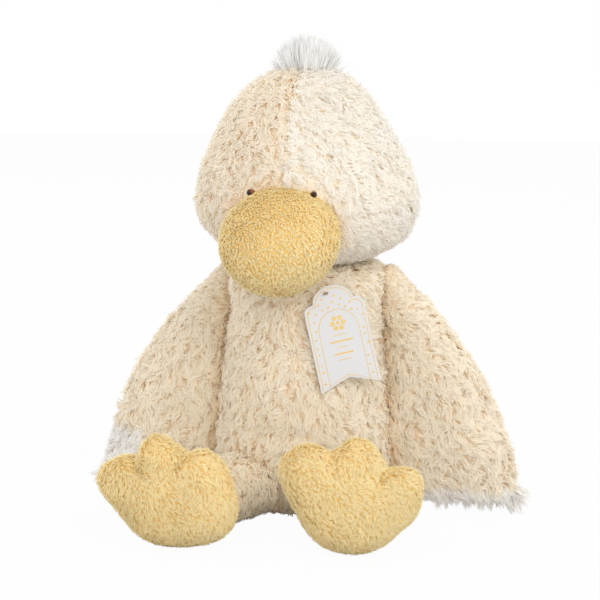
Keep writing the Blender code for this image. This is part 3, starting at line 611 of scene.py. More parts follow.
def strand_rows(rng, here, normal, lie, pile, trim):
    """The middle line of every strand. It roots in its clump's circle, rises and leans over along
    the pile, closes in on its clump, and waves to the side and up as a sine of its length. Where
    the pile is trimmed it is shorter and flatter."""
    count, many = len(here), pile.strands
    t = np.linspace(0.0, 1.0, pile.rows)
    turn = rng.random((count, many)) * math.tau
    far = np.sqrt(rng.random((count, many))) * pile.spread
    long = pile.length * (0.8 + 0.4 * rng.random((count, 1)))
    long = long * (0.75 + 0.5 * rng.random((count, many))) * trim[:, None]
    high = pile.stand * (0.75 + 0.5 * rng.random((count, many))) * trim[:, None]
    high = high * (0.75 + 0.5 * rng.random((count, 1)))
    phase = rng.random((count, 1)) + 0.10 * rng.standard_normal((count, many))
    sway = pile.sway * (0.6 + 0.8 * rng.random((count, 1))) * trim[:, None]
    closing = 1 - pile.closing * t
    wave = math.tau * (pile.waves * t + phase[..., None])
    aside = (far * np.cos(turn))[..., None] * closing + sway[..., None] * np.sin(wave) * t
    ahead = (far * np.sin(turn))[..., None] * closing + long[..., None] * (0.4 * t + 0.6 * t * t)
    above = high[..., None] * (1.9 * t - 1.05 * t * t) + 0.5 * sway[..., None] * np.cos(wave) * t
    above -= ahead**2 / (2 * pile.roundness)
    side = np.cross(normal, lie)
    places = here[:, None, None] + side[:, None, None] * aside[..., None]
    places = places + lie[:, None, None] * ahead[..., None]
    places = places + normal[:, None, None] * above[..., None]
    facing = np.broadcast_to(normal[:, None], (count, many, 3))
    return places.reshape(-1, pile.rows, 3), facing.reshape(-1, 3)


def for_edges(rows):
    """What holds for a ribbon's middle line, for both its edges and the one point at its tip."""
    return np.concatenate([np.repeat(rows[:, :-1], 2, axis=1), rows[:, -1:]], axis=1)


def ribbons(rng, name, places, facing, width, tones, material, unshaded=1.0):
    """Strands as thin ribbons that taper to a point, each turned a little on its own line. The
    attribute pile holds its tone, partly its clump's, the shares of its length and of its width,
    and the share of it that is free of painted shade."""
    count, rows = places.shape[:2]
    along = unit(np.gradient(places, axis=1))
    roll = rng.uniform(-0.7, 0.7, count)[:, None, None]
    facing = np.broadcast_to(facing[:, None], places.shape)
    beside = unit(np.cross(along, facing))
    over = np.cross(beside, along)
    beside = beside * np.cos(roll) + over * np.sin(roll)
    t = np.linspace(0.0, 1.0, rows)
    half = width / 2 * (0.8 + 0.5 * t - 1.3 * t**3)
    half = half[None, :, None] * rng.uniform(0.75, 1.25, count)[:, None, None]
    left = places - beside * half
    right = places + beside * half
    pairs = np.stack([left[:, :-1], right[:, :-1]], axis=2).reshape(count, -1, 3)
    points = np.concatenate([pairs, places[:, -1:]], axis=1)
    points[..., 2] = np.maximum(points[..., 2], GROUND_GAP)
    each = points.shape[1]
    base = np.arange(count)[:, None, None] * each
    low = np.arange(rows - 2)[:, None] * 2
    quads = base + low[None] + np.array([0, 1, 3, 2])
    tips = base[:, 0] + np.array([each - 3, each - 2, each - 1])
    corners = np.concatenate([quads.reshape(count, -1), tips], axis=1).ravel()
    counts = np.tile([4] * (rows - 2) + [3], count)
    obj = mesh_object(name, points.reshape(-1, 3), corners, counts, material)
    share = np.concatenate([np.repeat(t[:-1], 2), [1.0]])
    colour = np.ones((count, each, 4), dtype=np.float32)
    colour[..., 0] = (0.45 * tones + 0.55 * rng.random(count))[:, None]
    colour[..., 1] = share
    colour[..., 2] = np.append(np.tile([0.0, 1.0], rows - 1), 0.5)
    colour[..., 3] = np.reshape(unshaded, (-1, 1))
    turned = unit(facing * SOFTNESS + unit(np.cross(beside, along)) * (1 - SOFTNESS))
    aside = np.append(np.tile([-1.0, 1.0], rows - 1), 0.0)[:, None] * ROUNDED
    soft = for_edges(turned) + aside * for_edges(beside)
    obj.data.normals_split_custom_set_from_vertices(soft.reshape(-1, 3).astype(np.float32))
    attribute = obj.data.attributes.new("pile", "FLOAT_COLOR", "POINT")
    attribute.data.foreach_set("color", colour.ravel())
    columns = math.ceil(math.sqrt(count * 4))
    lines = math.ceil(count / columns)
    index = np.arange(count)
    u = (index % columns)[:, None] + np.concatenate([np.tile([0.15, 0.85], rows - 1), [0.5]])
    v = (index // columns)[:, None] + 0.06 + 0.88 * share
    set_map(obj, np.stack([u / columns, v / lines], axis=-1).reshape(-1, 2)[corners])
    return obj


class Plush(NamedTuple):
    """A panel of plush: its name, its skin, its span on it, its pile, the way that lies, how it
    swirls, where it grows, its materials, slot and body, its cloth's grid and thickness, how short
    it is trimmed, and the forms near it that give its pile painted shade. The slot is not used."""

    name: str
    skin: object
    span: tuple
    pile: Pile
    way: object
    swirl: tuple
    keep: object
    backing: object
    strands: object
    slot: str
    body: str
    detail: tuple = (72, 56)
    thick: float = CLOTH
    trim: object = None
    shaded_by: tuple = ()

    @property
    def node(self):
        """The CAD panel that its cloth replaces."""
        return f"{self.name}_panel"


def shade_nearness(places, others):
    """Nearness of other forms, for painted shade: 1 within 3 mm of one, and 0 beyond 12 mm."""
    near = np.zeros(len(places))
    for grown in SHADE_NEAR_WITHIN:
        touched = np.zeros(len(places), dtype=bool)
        for other in others:
            touched |= inside(other, places, grown)
        near += touched / len(SHADE_NEAR_WITHIN)
    return near


def grow_pile(plush, seed):
    """Grows the pile of one panel as a piece of its own."""
    rng = np.random.default_rng(seed)
    here, normal = roots(rng, plush.skin, plush.span, plush.pile, plush.keep)
    lie = combed(rng, here, normal, plush.way(here), plush.swirl, seed)
    trim = plush.trim(here) if plush.trim else np.ones(len(here))
    places, facing = strand_rows(rng, here - normal * ROOT_DEPTH, normal, lie, plush.pile, trim)
    tones = 0.55 * (0.5 + 0.5 * noise(here, 0.016, seed + 50)) + 0.45 * rng.random(len(here))
    tones = np.repeat(tones, plush.pile.strands)
    # Painted shade: near another form a strand keeps more of its root colour, and looks darker
    unshaded = np.repeat(1 - NEAR_FORM_SHADE * shade_nearness(here, plush.shaded_by), plush.pile.strands)
    name, width = plush.name + "_pile", plush.pile.width
    pile = ribbons(rng, name, places, facing, width, tones, plush.strands, unshaded)
    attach(pile, plush.body)


def make_plush(plush, seed):
    """Sews one panel: its cloth, and its pile on it."""
    cloth = cloth_object(
        plush.name + "_cloth", plush.skin, plush.span, plush.detail, plush.thick, plush.backing
    )
    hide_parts(plush.node)
    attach(cloth, plush.body)
    grow_pile(plush, seed)


class Shader(NamedTuple):
    """A new material, its nodes and its Principled shader."""

    material: object
    nodes: object
    links: object
    principled: object


def shader(name, roughness, sheen, specular):
    """A material with these constants on its Principled shader."""
    made = bpy.data.materials.new(name)
    made.use_nodes = True
    principled = made.node_tree.nodes["Principled BSDF"]
    principled.inputs["Roughness"].default_value = roughness
    principled.inputs["Specular IOR Level"].default_value = specular
    principled.inputs["Sheen Weight"].default_value = sheen
    principled.inputs["Sheen Roughness"].default_value = 0.5
    return Shader(made, made.node_tree.nodes, made.node_tree.links, principled)


def arithmetic(s, operation, first, second):
    """A Math node of two sockets or numbers."""
    node = s.nodes.new("ShaderNodeMath")
    node.operation = operation
    for socket, value in zip(node.inputs, (first, second)):
        if isinstance(value, (int, float)):
            socket.default_value = value
        else:
            s.links.new(value, socket)
    return node.outputs[0]


def object_noise(s, scale, detail=2.0, roughness=0.5):
    """Noise on Object coordinates, from 0 to 1."""
    place = s.nodes.new("ShaderNodeTexCoord")
    cloud = s.nodes.new("ShaderNodeTexNoise")
    cloud.inputs["Scale"].default_value = scale
    cloud.inputs["Detail"].default_value = detail
    cloud.inputs["Roughness"].default_value = roughness
    s.links.new(place.outputs["Object"], cloud.inputs["Vector"])
    return cloud.outputs["Fac"]


def ramp(s, value, stops):
    """A colour ramp through these positions and colours."""
    node = s.nodes.new("ShaderNodeValToRGB")
    band = node.color_ramp.elements
    while len(band) < len(stops):
        band.new(0.5)
    for stop, (position, colour) in zip(band, stops):
        stop.position = position
        stop.color = (*colour, 1.0)
    s.links.new(value, node.inputs["Fac"])
    return node.outputs["Color"]


def brightened(s, colour, value):
    """A colour times a value."""
    node = s.nodes.new("ShaderNodeHueSaturation")
    s.links.new(colour, node.inputs["Color"])
    s.links.new(value, node.inputs["Value"])
    return node.outputs["Color"]


def paint(s, colour):
    """Gives the Principled shader a colour that varies."""
    s.links.new(colour, s.principled.inputs["Base Color"])


def mixed(s, share, first, second, shown):
    """Shows a share of a second shader in place of the first."""
    mix = s.nodes.new("ShaderNodeMixShader")
    s.links.new(share, mix.inputs["Fac"])
    s.links.new(first.outputs[0], mix.inputs[1])
    s.links.new(second.outputs[0], mix.inputs[2])
    s.links.new(mix.outputs[0], shown.inputs["Surface"])


def bump(s, height, distance):
    """Relief from a height."""
    node = s.nodes.new("ShaderNodeBump")
    node.inputs["Strength"].default_value = 1.0
    node.inputs["Distance"].default_value = distance
    s.links.new(height, node.inputs["Height"])
    s.links.new(node.outputs["Normal"], s.principled.inputs["Normal"])


def pile_material(name, colours, stops=(0.0, 0.36, 0.85), sheen=0.5, change=0.08):
    """Strands darker at the root and the edges and lighter at the tip, with painted shade where
    another form is near: there they keep more of their root colour. Some are brighter than
    others, in soft patches as a worn pile has. Part of the light goes through them, and more of it
    shows on the back of a strand."""
    s = shader(name, 0.8, sheen, 0.25)
    place = s.nodes.new("ShaderNodeAttribute")
    place.attribute_name = "pile"
    parts = s.nodes.new("ShaderNodeSeparateColor")
    s.links.new(place.outputs["Color"], parts.inputs["Color"])
    across = parts.outputs["Blue"]
    middle = arithmetic(s, "MULTIPLY", across, arithmetic(s, "SUBTRACT", 1.0, across))
    fullness = arithmetic(s, "MULTIPLY", middle, 4 * (1 - EDGE_TONE))
    fullness = arithmetic(s, "ADD", fullness, EDGE_TONE)
    along = arithmetic(s, "MULTIPLY", parts.outputs["Green"], fullness)
    # Painted shade: the alpha is the share free of it, and draws the strand towards its root colour
    along = arithmetic(s, "MULTIPLY", along, place.outputs["Alpha"])
    colour = ramp(s, along, list(zip(stops, colours)))
    own = arithmetic(s, "MULTIPLY", parts.outputs["Red"], change * 1.3)
    patch = arithmetic(s, "MULTIPLY", object_noise(s, 24.0), change * 0.8)
    value = arithmetic(s, "ADD", arithmetic(s, "ADD", own, patch), 1.0 - change * 1.1)
    shown = brightened(s, colour, value)
    paint(s, shown)
    side = s.nodes.new("ShaderNodeNewGeometry")
    more = arithmetic(s, "MULTIPLY", side.outputs["Backfacing"], BACK_TRANSLUCENCY - TRANSLUCENCY)
    through = s.nodes.new("ShaderNodeBsdfTranslucent")
    s.links.new(shown, through.inputs["Color"])
    share = arithmetic(s, "ADD", more, TRANSLUCENCY)
    mixed(s, share, s.principled, through, s.nodes["Material Output"])
    return s.material


def backing_material(name, dark, light, scale=420.0):
    """The cloth that the pile stands on: mottled as short dense pile is."""
    s = shader(name, 0.9, 0.2, 0.2)
    grain = object_noise(s, scale, 3.0, 0.6)
    paint(s, ramp(s, grain, [(0.30, dark), (0.72, light)]))
    bump(s, grain, 0.0012)
    return s.material


def card_material():
    """Smooth card, palely tinted, with a faint tooth."""
    s = shader("pale_card", 0.5, 0.0, 0.4)
    fine = object_noise(s, 2600.0, 2.0)
    paint(s, ramp(s, fine, [(0.2, (0.68, 0.69, 0.72)), (0.8, (0.72, 0.73, 0.76))]))
    bump(s, fine, 0.00003)
    return s.material


def foil_material():
    """Thin gold foil, a little worn."""
    s = shader("gold_foil", 0.38, 0.0, 0.5)
    s.principled.inputs["Metallic"].default_value = 0.2
    worn = object_noise(s, 900.0, 3.0)
    paint(s, ramp(s, worn, [(0.3, (0.68, 0.47, 0.16)), (0.7, (0.80, 0.61, 0.26))]))
    return s.material


def bead_material():
    """A moulded bead: nearly black, with an amber brown rim where its map says."""
    s = shader("eye_bead", 0.28, 0.0, 0.35)
    place = s.nodes.new("ShaderNodeUVMap")
    place.uv_map = "OFBake"
    parts = s.nodes.new("ShaderNodeSeparateXYZ")
    s.links.new(place.outputs["UV"], parts.inputs["Vector"])
    amber, dark = (0.26, 0.085, 0.02), (0.022, 0.012, 0.008)
    paint(s, ramp(s, parts.outputs["Y"], [(0.0, amber), (0.50, amber), (0.62, dark), (1.0, dark)]))
    return s.material


def plain_material(name, dark, light, scale, roughness, relief):
    """A finish with a fine mottle and a little relief."""
    s = shader(name, roughness, 0.0, 0.4)
    grain = object_noise(s, scale, 3.0)
    paint(s, ramp(s, grain, [(0.3, dark), (0.7, light)]))
    bump(s, grain, relief)
    return s.material


def satin_material():
    """Ribbon woven with a fine rib."""
    s = shader("satin_ribbon", 0.35, 0.3, 0.6)
    place = s.nodes.new("ShaderNodeTexCoord")
    rib = s.nodes.new("ShaderNodeTexWave")
    rib.bands_direction = "Z"
    rib.inputs["Scale"].default_value = 700.0
    rib.inputs["Distortion"].default_value = 0.6
    s.links.new(place.outputs["Object"], rib.inputs["Vector"])
    paint(s, ramp(s, rib.outputs["Fac"], [(0.0, (0.74, 0.73, 0.70)), (1.0, (0.88, 0.87, 0.84))]))
    bump(s, rib.outputs["Fac"], 0.00006)
    return s.material


def head_placing(placing):
    """Turns a place in the head with the head, which looks a little to one side."""
    about = Matrix.Translation(NECK_SPOT)
    return about @ Matrix.Rotation(HEAD_TURNED, 4, "Z") @ about.inverted() @ placing


def crease(places, height, low, high, deep, wide):
    """A soft level crease across the front, between two places to the side: a bell curve in height
    that fades out at its ends and towards the back."""
    x, y, z = np.moveaxis(places, -1, 0)
    ends = eased(-x, -high, 0.004, eased(x, low, 0.004))
    front = eased(-y, 0.03, 0.008)
    return -deep * ends * front * bell(z, height, wide)


def torso_lumps(places):
    """Filling that has settled into lumps, two creases over the belly, and full shoulders."""
    push = 0.0011 * noise(places, 0.045, 11) - 0.0012
    push += crease(places, 0.138, -0.030, 0.011, 0.0017, 0.006)
    sideways = np.clip(np.abs(places[..., 0]) / 0.045, 0.0, 1.0) ** 3
    push += 0.0095 * sideways * bell(places[..., 2], 0.191, 0.014)
    return push + crease(places, 0.072, -0.033, 0.018, 0.0018, 0.007)


def head_lumps(places):
    """Filling that has settled into soft lumps, less of it high on one side and low on the
    other."""
    push = 0.0011 * noise(places, 0.05, 21) - 0.0015
    left = eased(places[..., 0], 0.0, 0.012)
    push -= 0.0036 * left * bell(places[..., 2], 0.322, 0.030)
    return push - 0.0036 * (1 - left) * bell(places[..., 2], 0.224, 0.013)


def wing_lumps(sign):
    """Folds of thin wadding that run down a wing, whose outer edge is fuller halfway down."""
    middle, spread, low, high = WING_FULLNESS[sign]

    def lumps(places):
        rise = (places[..., 2] - WING_BOTTOM) / WING_HEIGHT
        axis = SHOULDER_OUT + WING_SPREAD * (1 - rise)
        outer = np.clip((places[..., 0] * sign - axis) / 0.03, 0.0, 1.0)
        full = 0.0060 * bell(rise, middle, spread) - low * bell(rise, 0, 0.2)
        full -= 0.012 * bell(rise, 1.0, 0.08)
        full -= high * bell(rise, 0.90, 0.10)
        top = 0.0015 * bell(rise, 1.0, 0.06)
        folds = 0.0014 * noise(places * np.array([1.0, 1.0, 0.35]), 0.030, 31)
        return folds + outer * full - 0.0013 - top

    return lumps


def small_lumps(places):
    """Firm filling, nearly even."""
    return 0.0006 * noise(places, 0.022, 41)


def knit_lumps(places):
    """Firm filling under knit cloth, which lies in from the form by its stitches."""
    return 0.0005 * noise(places, 0.020, 51) - 0.0006


TORSO_AT = Matrix.Translation((0, 0, -SEAT_CUT))
TORSO = ringed(TORSO_SHARES, TORSO_HEIGHT + SEAT_CUT, TORSO_REACH, TORSO_AT, torso_lumps)
HEAD_AT = head_placing(Matrix.Translation((0, -HEAD_AHEAD, TORSO_HEIGHT)))
HEAD = ringed(HEAD_SHARES, HEAD_HEIGHT, HEAD_REACH, HEAD_AT, head_lumps)
BILL_TURN = Matrix.Rotation(BILL_ASKEW, 4, "Z") @ Matrix.Rotation(math.pi / 2 + BILL_DROOP, 4, "X")
BILL_AT = head_placing(Matrix.Translation(BILL_ROOT) @ BILL_TURN)
BILL = ringed(BILL_SHARES, BILL_LENGTH, BILL_REACH, BILL_AT, knit_lumps)
TUFT_AT = head_placing(Matrix.Translation((0, -HEAD_AHEAD, TORSO_HEIGHT + HEAD_HEIGHT - TUFT_SUNK)))


def wing_placing(sign):
    """Where a wing's form stands."""
    spot = (sign * (SHOULDER_OUT + WING_SPREAD), SHOULDER_BEHIND - WING_LEAN, WING_BOTTOM)
    return Matrix.Translation(spot)


def wing_skin(sign):
    """A wing's form, its outer reach to the outside."""
    shares = []
    for down, outer, inner, front, back in reversed(WING_SHARES):
        shares.append((1 - down, *(outer, inner)[::sign], front, back))
    reach = (*(WING_OUTER, WING_INNER)[::sign], WING_HALF_THICK, WING_HALF_THICK)
    lean = (-sign * WING_SPREAD, WING_LEAN)
    return ringed(shares, WING_HEIGHT, reach, wing_placing(sign), wing_lumps(sign), lean)


def leg_skin(side, sign):
    """A leg's form, running ahead from inside the trunk."""
    splay = sign * LEG_SPLAY[side]
    forward = Vector((math.sin(splay), -math.cos(splay), 0.0))
    across = Vector((math.cos(splay), math.sin(splay), 0.0))
    turned = Matrix((across, (0.0, 0.0, 1.0), forward)).transposed().to_4x4()
    hip = Matrix.Translation((sign * HIP_OUT, -HIP_AHEAD[side], LEG_TOP)) @ turned
    placing = hip @ Matrix.Translation((0.0, -LEG_REACH[2], -LEG_REACH_BACK))
    return ringed(LEG_SHARES, LEG_LENGTH, LEG_REACH, placing, small_lumps, (0.0, LEG_RISE))


def foot_skin(side, sign):
    """A foot, its sole facing ahead."""
    spot = Matrix.Translation((sign * FOOT_OUT[side], -FOOT_AHEAD, FOOT_HEIGHT[side]))
    yaw = Matrix.Rotation(sign * FOOT_YAW[side], 4, "Z")
    return Foot(side, np.array(spot @ yaw @ Matrix.Rotation(-FOOT_PITCH, 4, "X")), knit_lumps)


WINGS = {side: wing_skin(sign) for side, sign in SIDES.items()}
LEGS = {side: leg_skin(side, sign) for side, sign in SIDES.items()}
FEET = {side: foot_skin(side, sign) for side, sign in SIDES.items()}


def eye_spot(sign):
    """Where an eye's middle lies: on the face, at its distance out and its height."""
    share = (EYE_HEIGHT - TORSO_HEIGHT) / HEAD_HEIGHT
    half = np.interp(share, HEAD.table[:, 0], HEAD.table[:, 1]) * HEAD_REACH[0]
    front = np.interp(share, HEAD.table[:, 0], HEAD.table[:, 3]) * HEAD_REACH[2]
    ahead = HEAD_AHEAD + front * math.sqrt(1 - (EYE_OUT / half) ** 2)
    return head_placing(Matrix.Translation((sign * EYE_OUT, -ahead, EYE_HEIGHT))).translation


EYES = {side: eye_spot(sign) for side, sign in SIDES.items()}


def from_eyes(places):
    """How far places are from the nearer eye."""
    away = [np.linalg.norm(places - np.array(spot), axis=-1) for spot in EYES.values()]
    return np.minimum(*away)


def on_head(places):
    """Pile grows on the head but not under the bill, over an eye or against the neck."""
    low = (places[:, 2] < HEAD_BARE_BELOW) & (np.hypot(*places.T[:2]) < NECK_BARE)
    return ~inside(BILL, places, OFF_BILL) & (from_eyes(places) > EYE_ROOM) & ~low


def on_torso(places):
    """Pile grows on the trunk but not under the seat, the head, the legs or the wings' roots."""
    high = (places[:, 2] > TORSO_BARE_ABOVE) & (np.hypot(*places.T[:2]) < NECK_BARE)
    grows = (places[:, 2] > SEAT_BARE_BELOW) & ~high
    for part in (*LEGS.values(), *WINGS.values()):
        grows &= ~inside(part, places, -INTO_ROOT)
    return grows


def white_edge(places):
    """The part of the wings' lower edges that is white: a low band, and a folded corner that rises
    with the distance out."""
    out, height = places[:, 0], places[:, 2]
    folded = (out < FOLD_OUT) & (height < FOLD_HEIGHT + FOLD_SLOPE * (out - FOLD_MIDDLE))
    return (height < WHITE_BELOW) | folded


def on_wing(places):
    """Beige pile grows on a wing outside the trunk and above its white edge."""
    return ~inside(TORSO, places) & ~white_edge(places)


def on_edge(places):
    """White pile grows along the lower edge of a wing."""
    return ~inside(TORSO, places) & white_edge(places)


def on_leg(side):
    """Pile grows on a leg outside its foot, and a little way into the trunk, where it can swing
    out."""
    return lambda places: ~inside_foot(FEET[side], places) & ~inside(TORSO, places, -INTO_TRUNK)


def on_bill(places):
    """Stitches cover the bill outside the head, but not an eye."""
    return ~inside(HEAD, places, -INTO_HEAD) & (from_eyes(places) > EYE_KNIT_ROOM)


def on_foot(side):
    """Stitches cover a foot outside its leg."""
    return lambda places: ~inside(LEGS[side], places)


def leaning(x, y, z):
    """The same way everywhere."""
    return lambda places: np.broadcast_to(np.array([x, y, z]), places.shape)


def down_the_trunk(places):
    """Down over the belly, and out to the side higher up."""
    high = eased(places[:, 2], 0.115, 0.012)
    aside = np.sign(places[:, 0]) * (0.15 + 0.75 * high * (places[:, 0] > 0))
    return np.stack([aside, np.zeros_like(aside), -1.0 + 0.45 * high], axis=-1)


HEAD_PILE = Pile(0.0041, 9, 0.0031, 0.40, 0.0076, 0.0058, 0.00105, 1.1, 0.0017, 0.08)
TORSO_PILE = Pile(0.0044, 9, 0.0033, 0.40, 0.0087, 0.0062, 0.00110, 1.1, 0.0018, 0.08)
WING_PILE = Pile(0.0042, 9, 0.0032, 0.40, 0.0100, 0.0070, 0.00108, 1.2, 0.0021, 0.06)
LEG_PILE = Pile(0.0042, 9, 0.0031, 0.40, 0.0085, 0.0058, 0.00108, 1.0, 0.0016, 0.04)
EDGE_PILE = Pile(0.0040, 9, 0.0028, 0.5, 0.0110, 0.0062, 0.00095, 0.7, 0.0013, 0.05)
BILL_STITCH = Pile(0.0022, 7, 0.0011, 0.38, 0.0021, 0.0026, 0.00070, 0.5, 0.0004, 0.05, 4)
FOOT_STITCH = Pile(0.0020, 6, 0.0014, 0.0, 0.0036, 0.0030, 0.00062, 0.3, 0.0003, 0.04, 4)


def head_trim(places):
    """The head's pile is short round the eyes, and shorter at the jaw."""
    near = eased(from_eyes(places), 0.0125, 0.0022)
    jaw = eased(places[:, 2], 0.222, 0.005)
    return (0.30 + 0.70 * near) * (0.65 + 0.35 * jaw)


def bill_trim(places):
    """The bill's stitches lie flat by the eyes."""
    return 0.35 + eased(from_eyes(places), 0.0075, 0.0012, 0.65)


def wing_trim(places):
    """A wing's pile is short at the shoulder."""
    return 1.0 - eased(places[:, 2], 0.178, 0.006, 0.75)


def between(rng, start, end, bow, sway):
    """Strands from start to end: straight, bowed like half a sine wave, and swaying a little."""
    t = np.linspace(0.0, 1.0, LONG_ROWS)[None, :, None]
    phase = rng.random((len(start), 1, 1)) * math.tau
    line = start[:, None] + (end - start)[:, None] * t + bow[:, None] * np.sin(math.pi * t)
    away = unit(rng.standard_normal((len(start), 1, 3)))
    return line + away * sway * np.sin(math.tau * t + phase) * t


def make_tuft(material):
    """The crown tuft: straight strands that fan from the crown to its top, in locks of one height
    each. Two locks stray to the side."""
    rng = np.random.default_rng(7)
    locks, each = TUFT_LOCKS, TUFT_STRANDS
    count = locks * each
    far = np.repeat(np.sqrt(rng.random(locks)), each) + rng.normal(0.0, 0.06, count)
    turn = np.repeat(rng.random(locks) * math.tau, each) + rng.normal(0.0, 0.12, count)
    grown = np.repeat(rng.uniform(0.87, 1.04, locks), each) * rng.uniform(0.92, 1.02, count)
    top = TUFT_HEIGHT * (1.03 - 0.06 * far**2 - 0.24 * far**6) * grown
    x, y = far * np.cos(turn), far * np.sin(turn)
    wide = 0.80 + 0.20 * far**6
    root_x, root_y = x * TUFT_REACH[0] * 0.34, y * TUFT_REACH[2] * 0.45
    start = np.stack([root_x, root_y, np.full(count, 0.004)], axis=-1)
    end = np.stack([x * TUFT_REACH[0] * wide, y * TUFT_REACH[2] * wide, top], axis=-1)
    end[:, :2] += np.repeat(rng.normal(0.0, 0.0018, (locks, 2)), each, axis=0)
    end[: 2 * each] = rng.normal(0.0, 0.0012, (2 * each, 3)) + np.array(TUFT_STRAY)
    bow = np.stack([x, y, np.zeros(count)], axis=-1) * 0.0022
    places = sub_map(between(rng, start, end, bow, 0.0009), TUFT_AT)
    outward_way = np.stack([x, y, np.full(count, 0.4)], axis=-1)
    facing = unit(0.5 * rng.standard_normal((count, 3)) + outward_way)
    tones = np.repeat(rng.random(locks), each)
    tuft = ribbons(rng, "crown_tuft_strands", places, facing, LONG_WIDTH, tones, material)
    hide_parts("crown_tuft")
    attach(tuft, "head")


def make_fringe(side, sign, material):
    """The white fringe of a wing: tufts of strands from its lower edge, the outer ones flaring. The
    strands end nearer to the middle of their lock, and each lock has its own length."""
    seed, flare, narrowed, stray = FRINGE_FLARE[side]
    rng = np.random.default_rng(seed)
    tufts, each, locks = FRINGE_TUFTS, FRINGE_STRANDS, FRINGE_LOCKS
    along = np.repeat(rng.uniform(-1.0, 1.0, tufts), each)
    count = len(along)
    deep = rng.uniform(-1.0, 1.0, count)
    outer = np.maximum(0.0, along * sign)
    inner = np.maximum(0.0, -along * sign)
    x0 = along * FRINGE_REACH[0] * 0.93 + rng.normal(0.0, 0.0022, count)
    x0 *= 1.0 - narrowed * outer
    middles = (np.arange(locks) + rng.uniform(0.15, 0.85, locks)) * 2.0 / locks - 1.0
    lock = np.abs(along[:, None] - middles).argmin(axis=1)
    gathered = along + (middles[lock] - along) * 0.65
    x1 = gathered * FRINGE_REACH[0] * 0.95 + sign * flare * outer**3
    x1 = x1 + rng.normal(0.0, 0.0009, count)
    astray = np.repeat(rng.random(tufts), each) * outer**3
    x1 += sign * stray * astray
    y = deep * FRINGE_REACH[2] * 0.8
    reach = np.repeat(rng.uniform(0.55, 1.08, tufts), each) * rng.uniform(0.85, 1.05, count)
    reach *= rng.uniform(0.58, 1.16, locks)[lock]
    drop = FRINGE_HEIGHT + 0.0025 - (1 - reach) * 0.024
    drop = drop + 0.006 * outer**2 - 0.006 * inner - 0.020 * astray
    start = np.stack([x0, y, np.full(count, FRINGE_HEIGHT - 0.001)], axis=-1)
    end = np.stack([x1, y * 1.1, FRINGE_HEIGHT - drop], axis=-1)
    bow = np.zeros((count, 3))
    bow[:, 0] = -sign * 0.002 * outer
    lines = between(rng, start, end, bow, 0.0007)
    placing = wing_placing(sign) @ Matrix.Translation((sign * FRINGE_OUT, 0.0, -FRINGE_DROP))
    facing = unit(rng.standard_normal((count, 3)) * 0.7 + np.array([0.0, -1.0, 0.0]))
    tones = np.repeat(rng.random(tufts), each)
    name = f"wing_{side}_fringe_strands"
    fringe = ribbons(rng, name, sub_map(lines, placing), facing, LONG_WIDTH, tones, material)
    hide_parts(f"wing_{side}_fringe")
    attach(fringe, f"wing_{side}")


def make_eye(side, material):
    """A bead: a domed profile turned round the line that looks straight out of the face."""
    radii, rises = np.array([EYE_RADII, EYE_RISES]) / 1000
    turn = np.linspace(0.0, math.tau, 33)
    spot = EYES[side] + Vector((0.0, 0.0, EYE_RAISED))
    middle = Vector(HEAD_AT.translation) + Vector((0.0, 0.0, EYE_HEIGHT - TORSO_HEIGHT))
    out = (spot - middle).normalized()
    placing = Matrix.Translation(spot) @ out.to_track_quat("Z", "Y").to_matrix().to_4x4()
    x = radii[:, None] * np.cos(turn)
    y = radii[:, None] * np.sin(turn)
    z = np.broadcast_to(rises[:, None], x.shape)
    points = sub_map(np.stack([x, y, z], axis=-1), placing)
    bead = grid_object(f"eye_{side}_bead", points, material)
    outward(bead, spot)
    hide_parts(f"eye_{side}")
    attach(bead, "head")


def tag_placing():
    """The middle of the card."""
    aside = (TAG_OUT - TAG_OFF_MIDDLE * math.sin(TAG_YAW)) / math.cos(TAG_YAW)
    facing = Matrix.Rotation(TAG_YAW, 4, "Z") @ Matrix.Translation((0.0, -TAG_OFF_MIDDLE, 0.0))
    spot = Matrix.Translation((aside, 0.0, TAG_HEIGHT))
    return facing @ spot @ Matrix.Rotation(-TAG_TILT, 4, "X") @ Matrix.Rotation(-TAG_ROLL, 4, "Y")


def tag_border(inset):
    """The card's edge moved in by this much: notched foot, straight sides, shoulders and arch."""
    half, tall = TAG_WIDTH / 2 - inset, TAG_LENGTH / 2
    base = tall - TAG_ARCH_RISE - inset
    arch = TAG_ARCH_HALF - inset * 0.6
    turns = np.linspace(0.0, math.pi / 2, 7)
    slope = base - TAG_SHOULDER * (1 - np.sin(turns))
    shoulder = np.stack([arch + (half - arch) * np.cos(turns), slope], axis=-1)
    sweep = np.linspace(0.0, math.pi, 25)[1:-1]
    top = np.stack([arch * np.cos(sweep), base + TAG_ARCH_RISE * np.sin(sweep)], axis=-1)
    left = shoulder[::-1] * np.array([-1.0, 1.0])
    foot, notch = inset * 0.9 - tall, [0.0, TAG_NOTCH - tall + inset]
    return np.concatenate([[notch, [half, foot]], shoulder, top, left, [[-half, foot], notch]])


def tag_arch():
    """The line round the inner panel: straight up, over in a half circle, and down again."""
    sweep = np.linspace(0.0, math.pi, 25)
    high, low = TAG_LENGTH / 2 - PANEL_DROP, PANEL_FOOT - TAG_LENGTH / 2
    arch = np.stack([PANEL_HALF * np.cos(sweep), high + PANEL_HALF * np.sin(sweep)], axis=-1)
    return np.concatenate([[[PANEL_HALF, low]], arch, [[-PANEL_HALF, low]]])


def strip(line, width):
    """A flat band along a line in the card, as points in pairs and faces of four corners."""
    along = unit(np.gradient(line, axis=0))
    beside = np.stack([-along[:, 1], along[:, 0]], axis=-1) * width / 2
    points = np.stack([line + beside, line - beside], axis=1).reshape(-1, 2)
    low = np.arange(len(line) - 1) * 2
    return points, np.stack([low, low + 1, low + 3, low + 2], axis=-1)


def disc(middles, radius, sides=10):
    """Flat dots with this many sides about their middles."""
    turn = np.arange(sides) * math.tau / sides
    ring = np.stack([np.cos(turn), np.sin(turn)], axis=-1)
    points = middles[:, None] + ring * np.reshape(radius, (-1, 1, 1))
    return points.reshape(-1, 2), np.arange(len(middles) * sides).reshape(-1, sides)


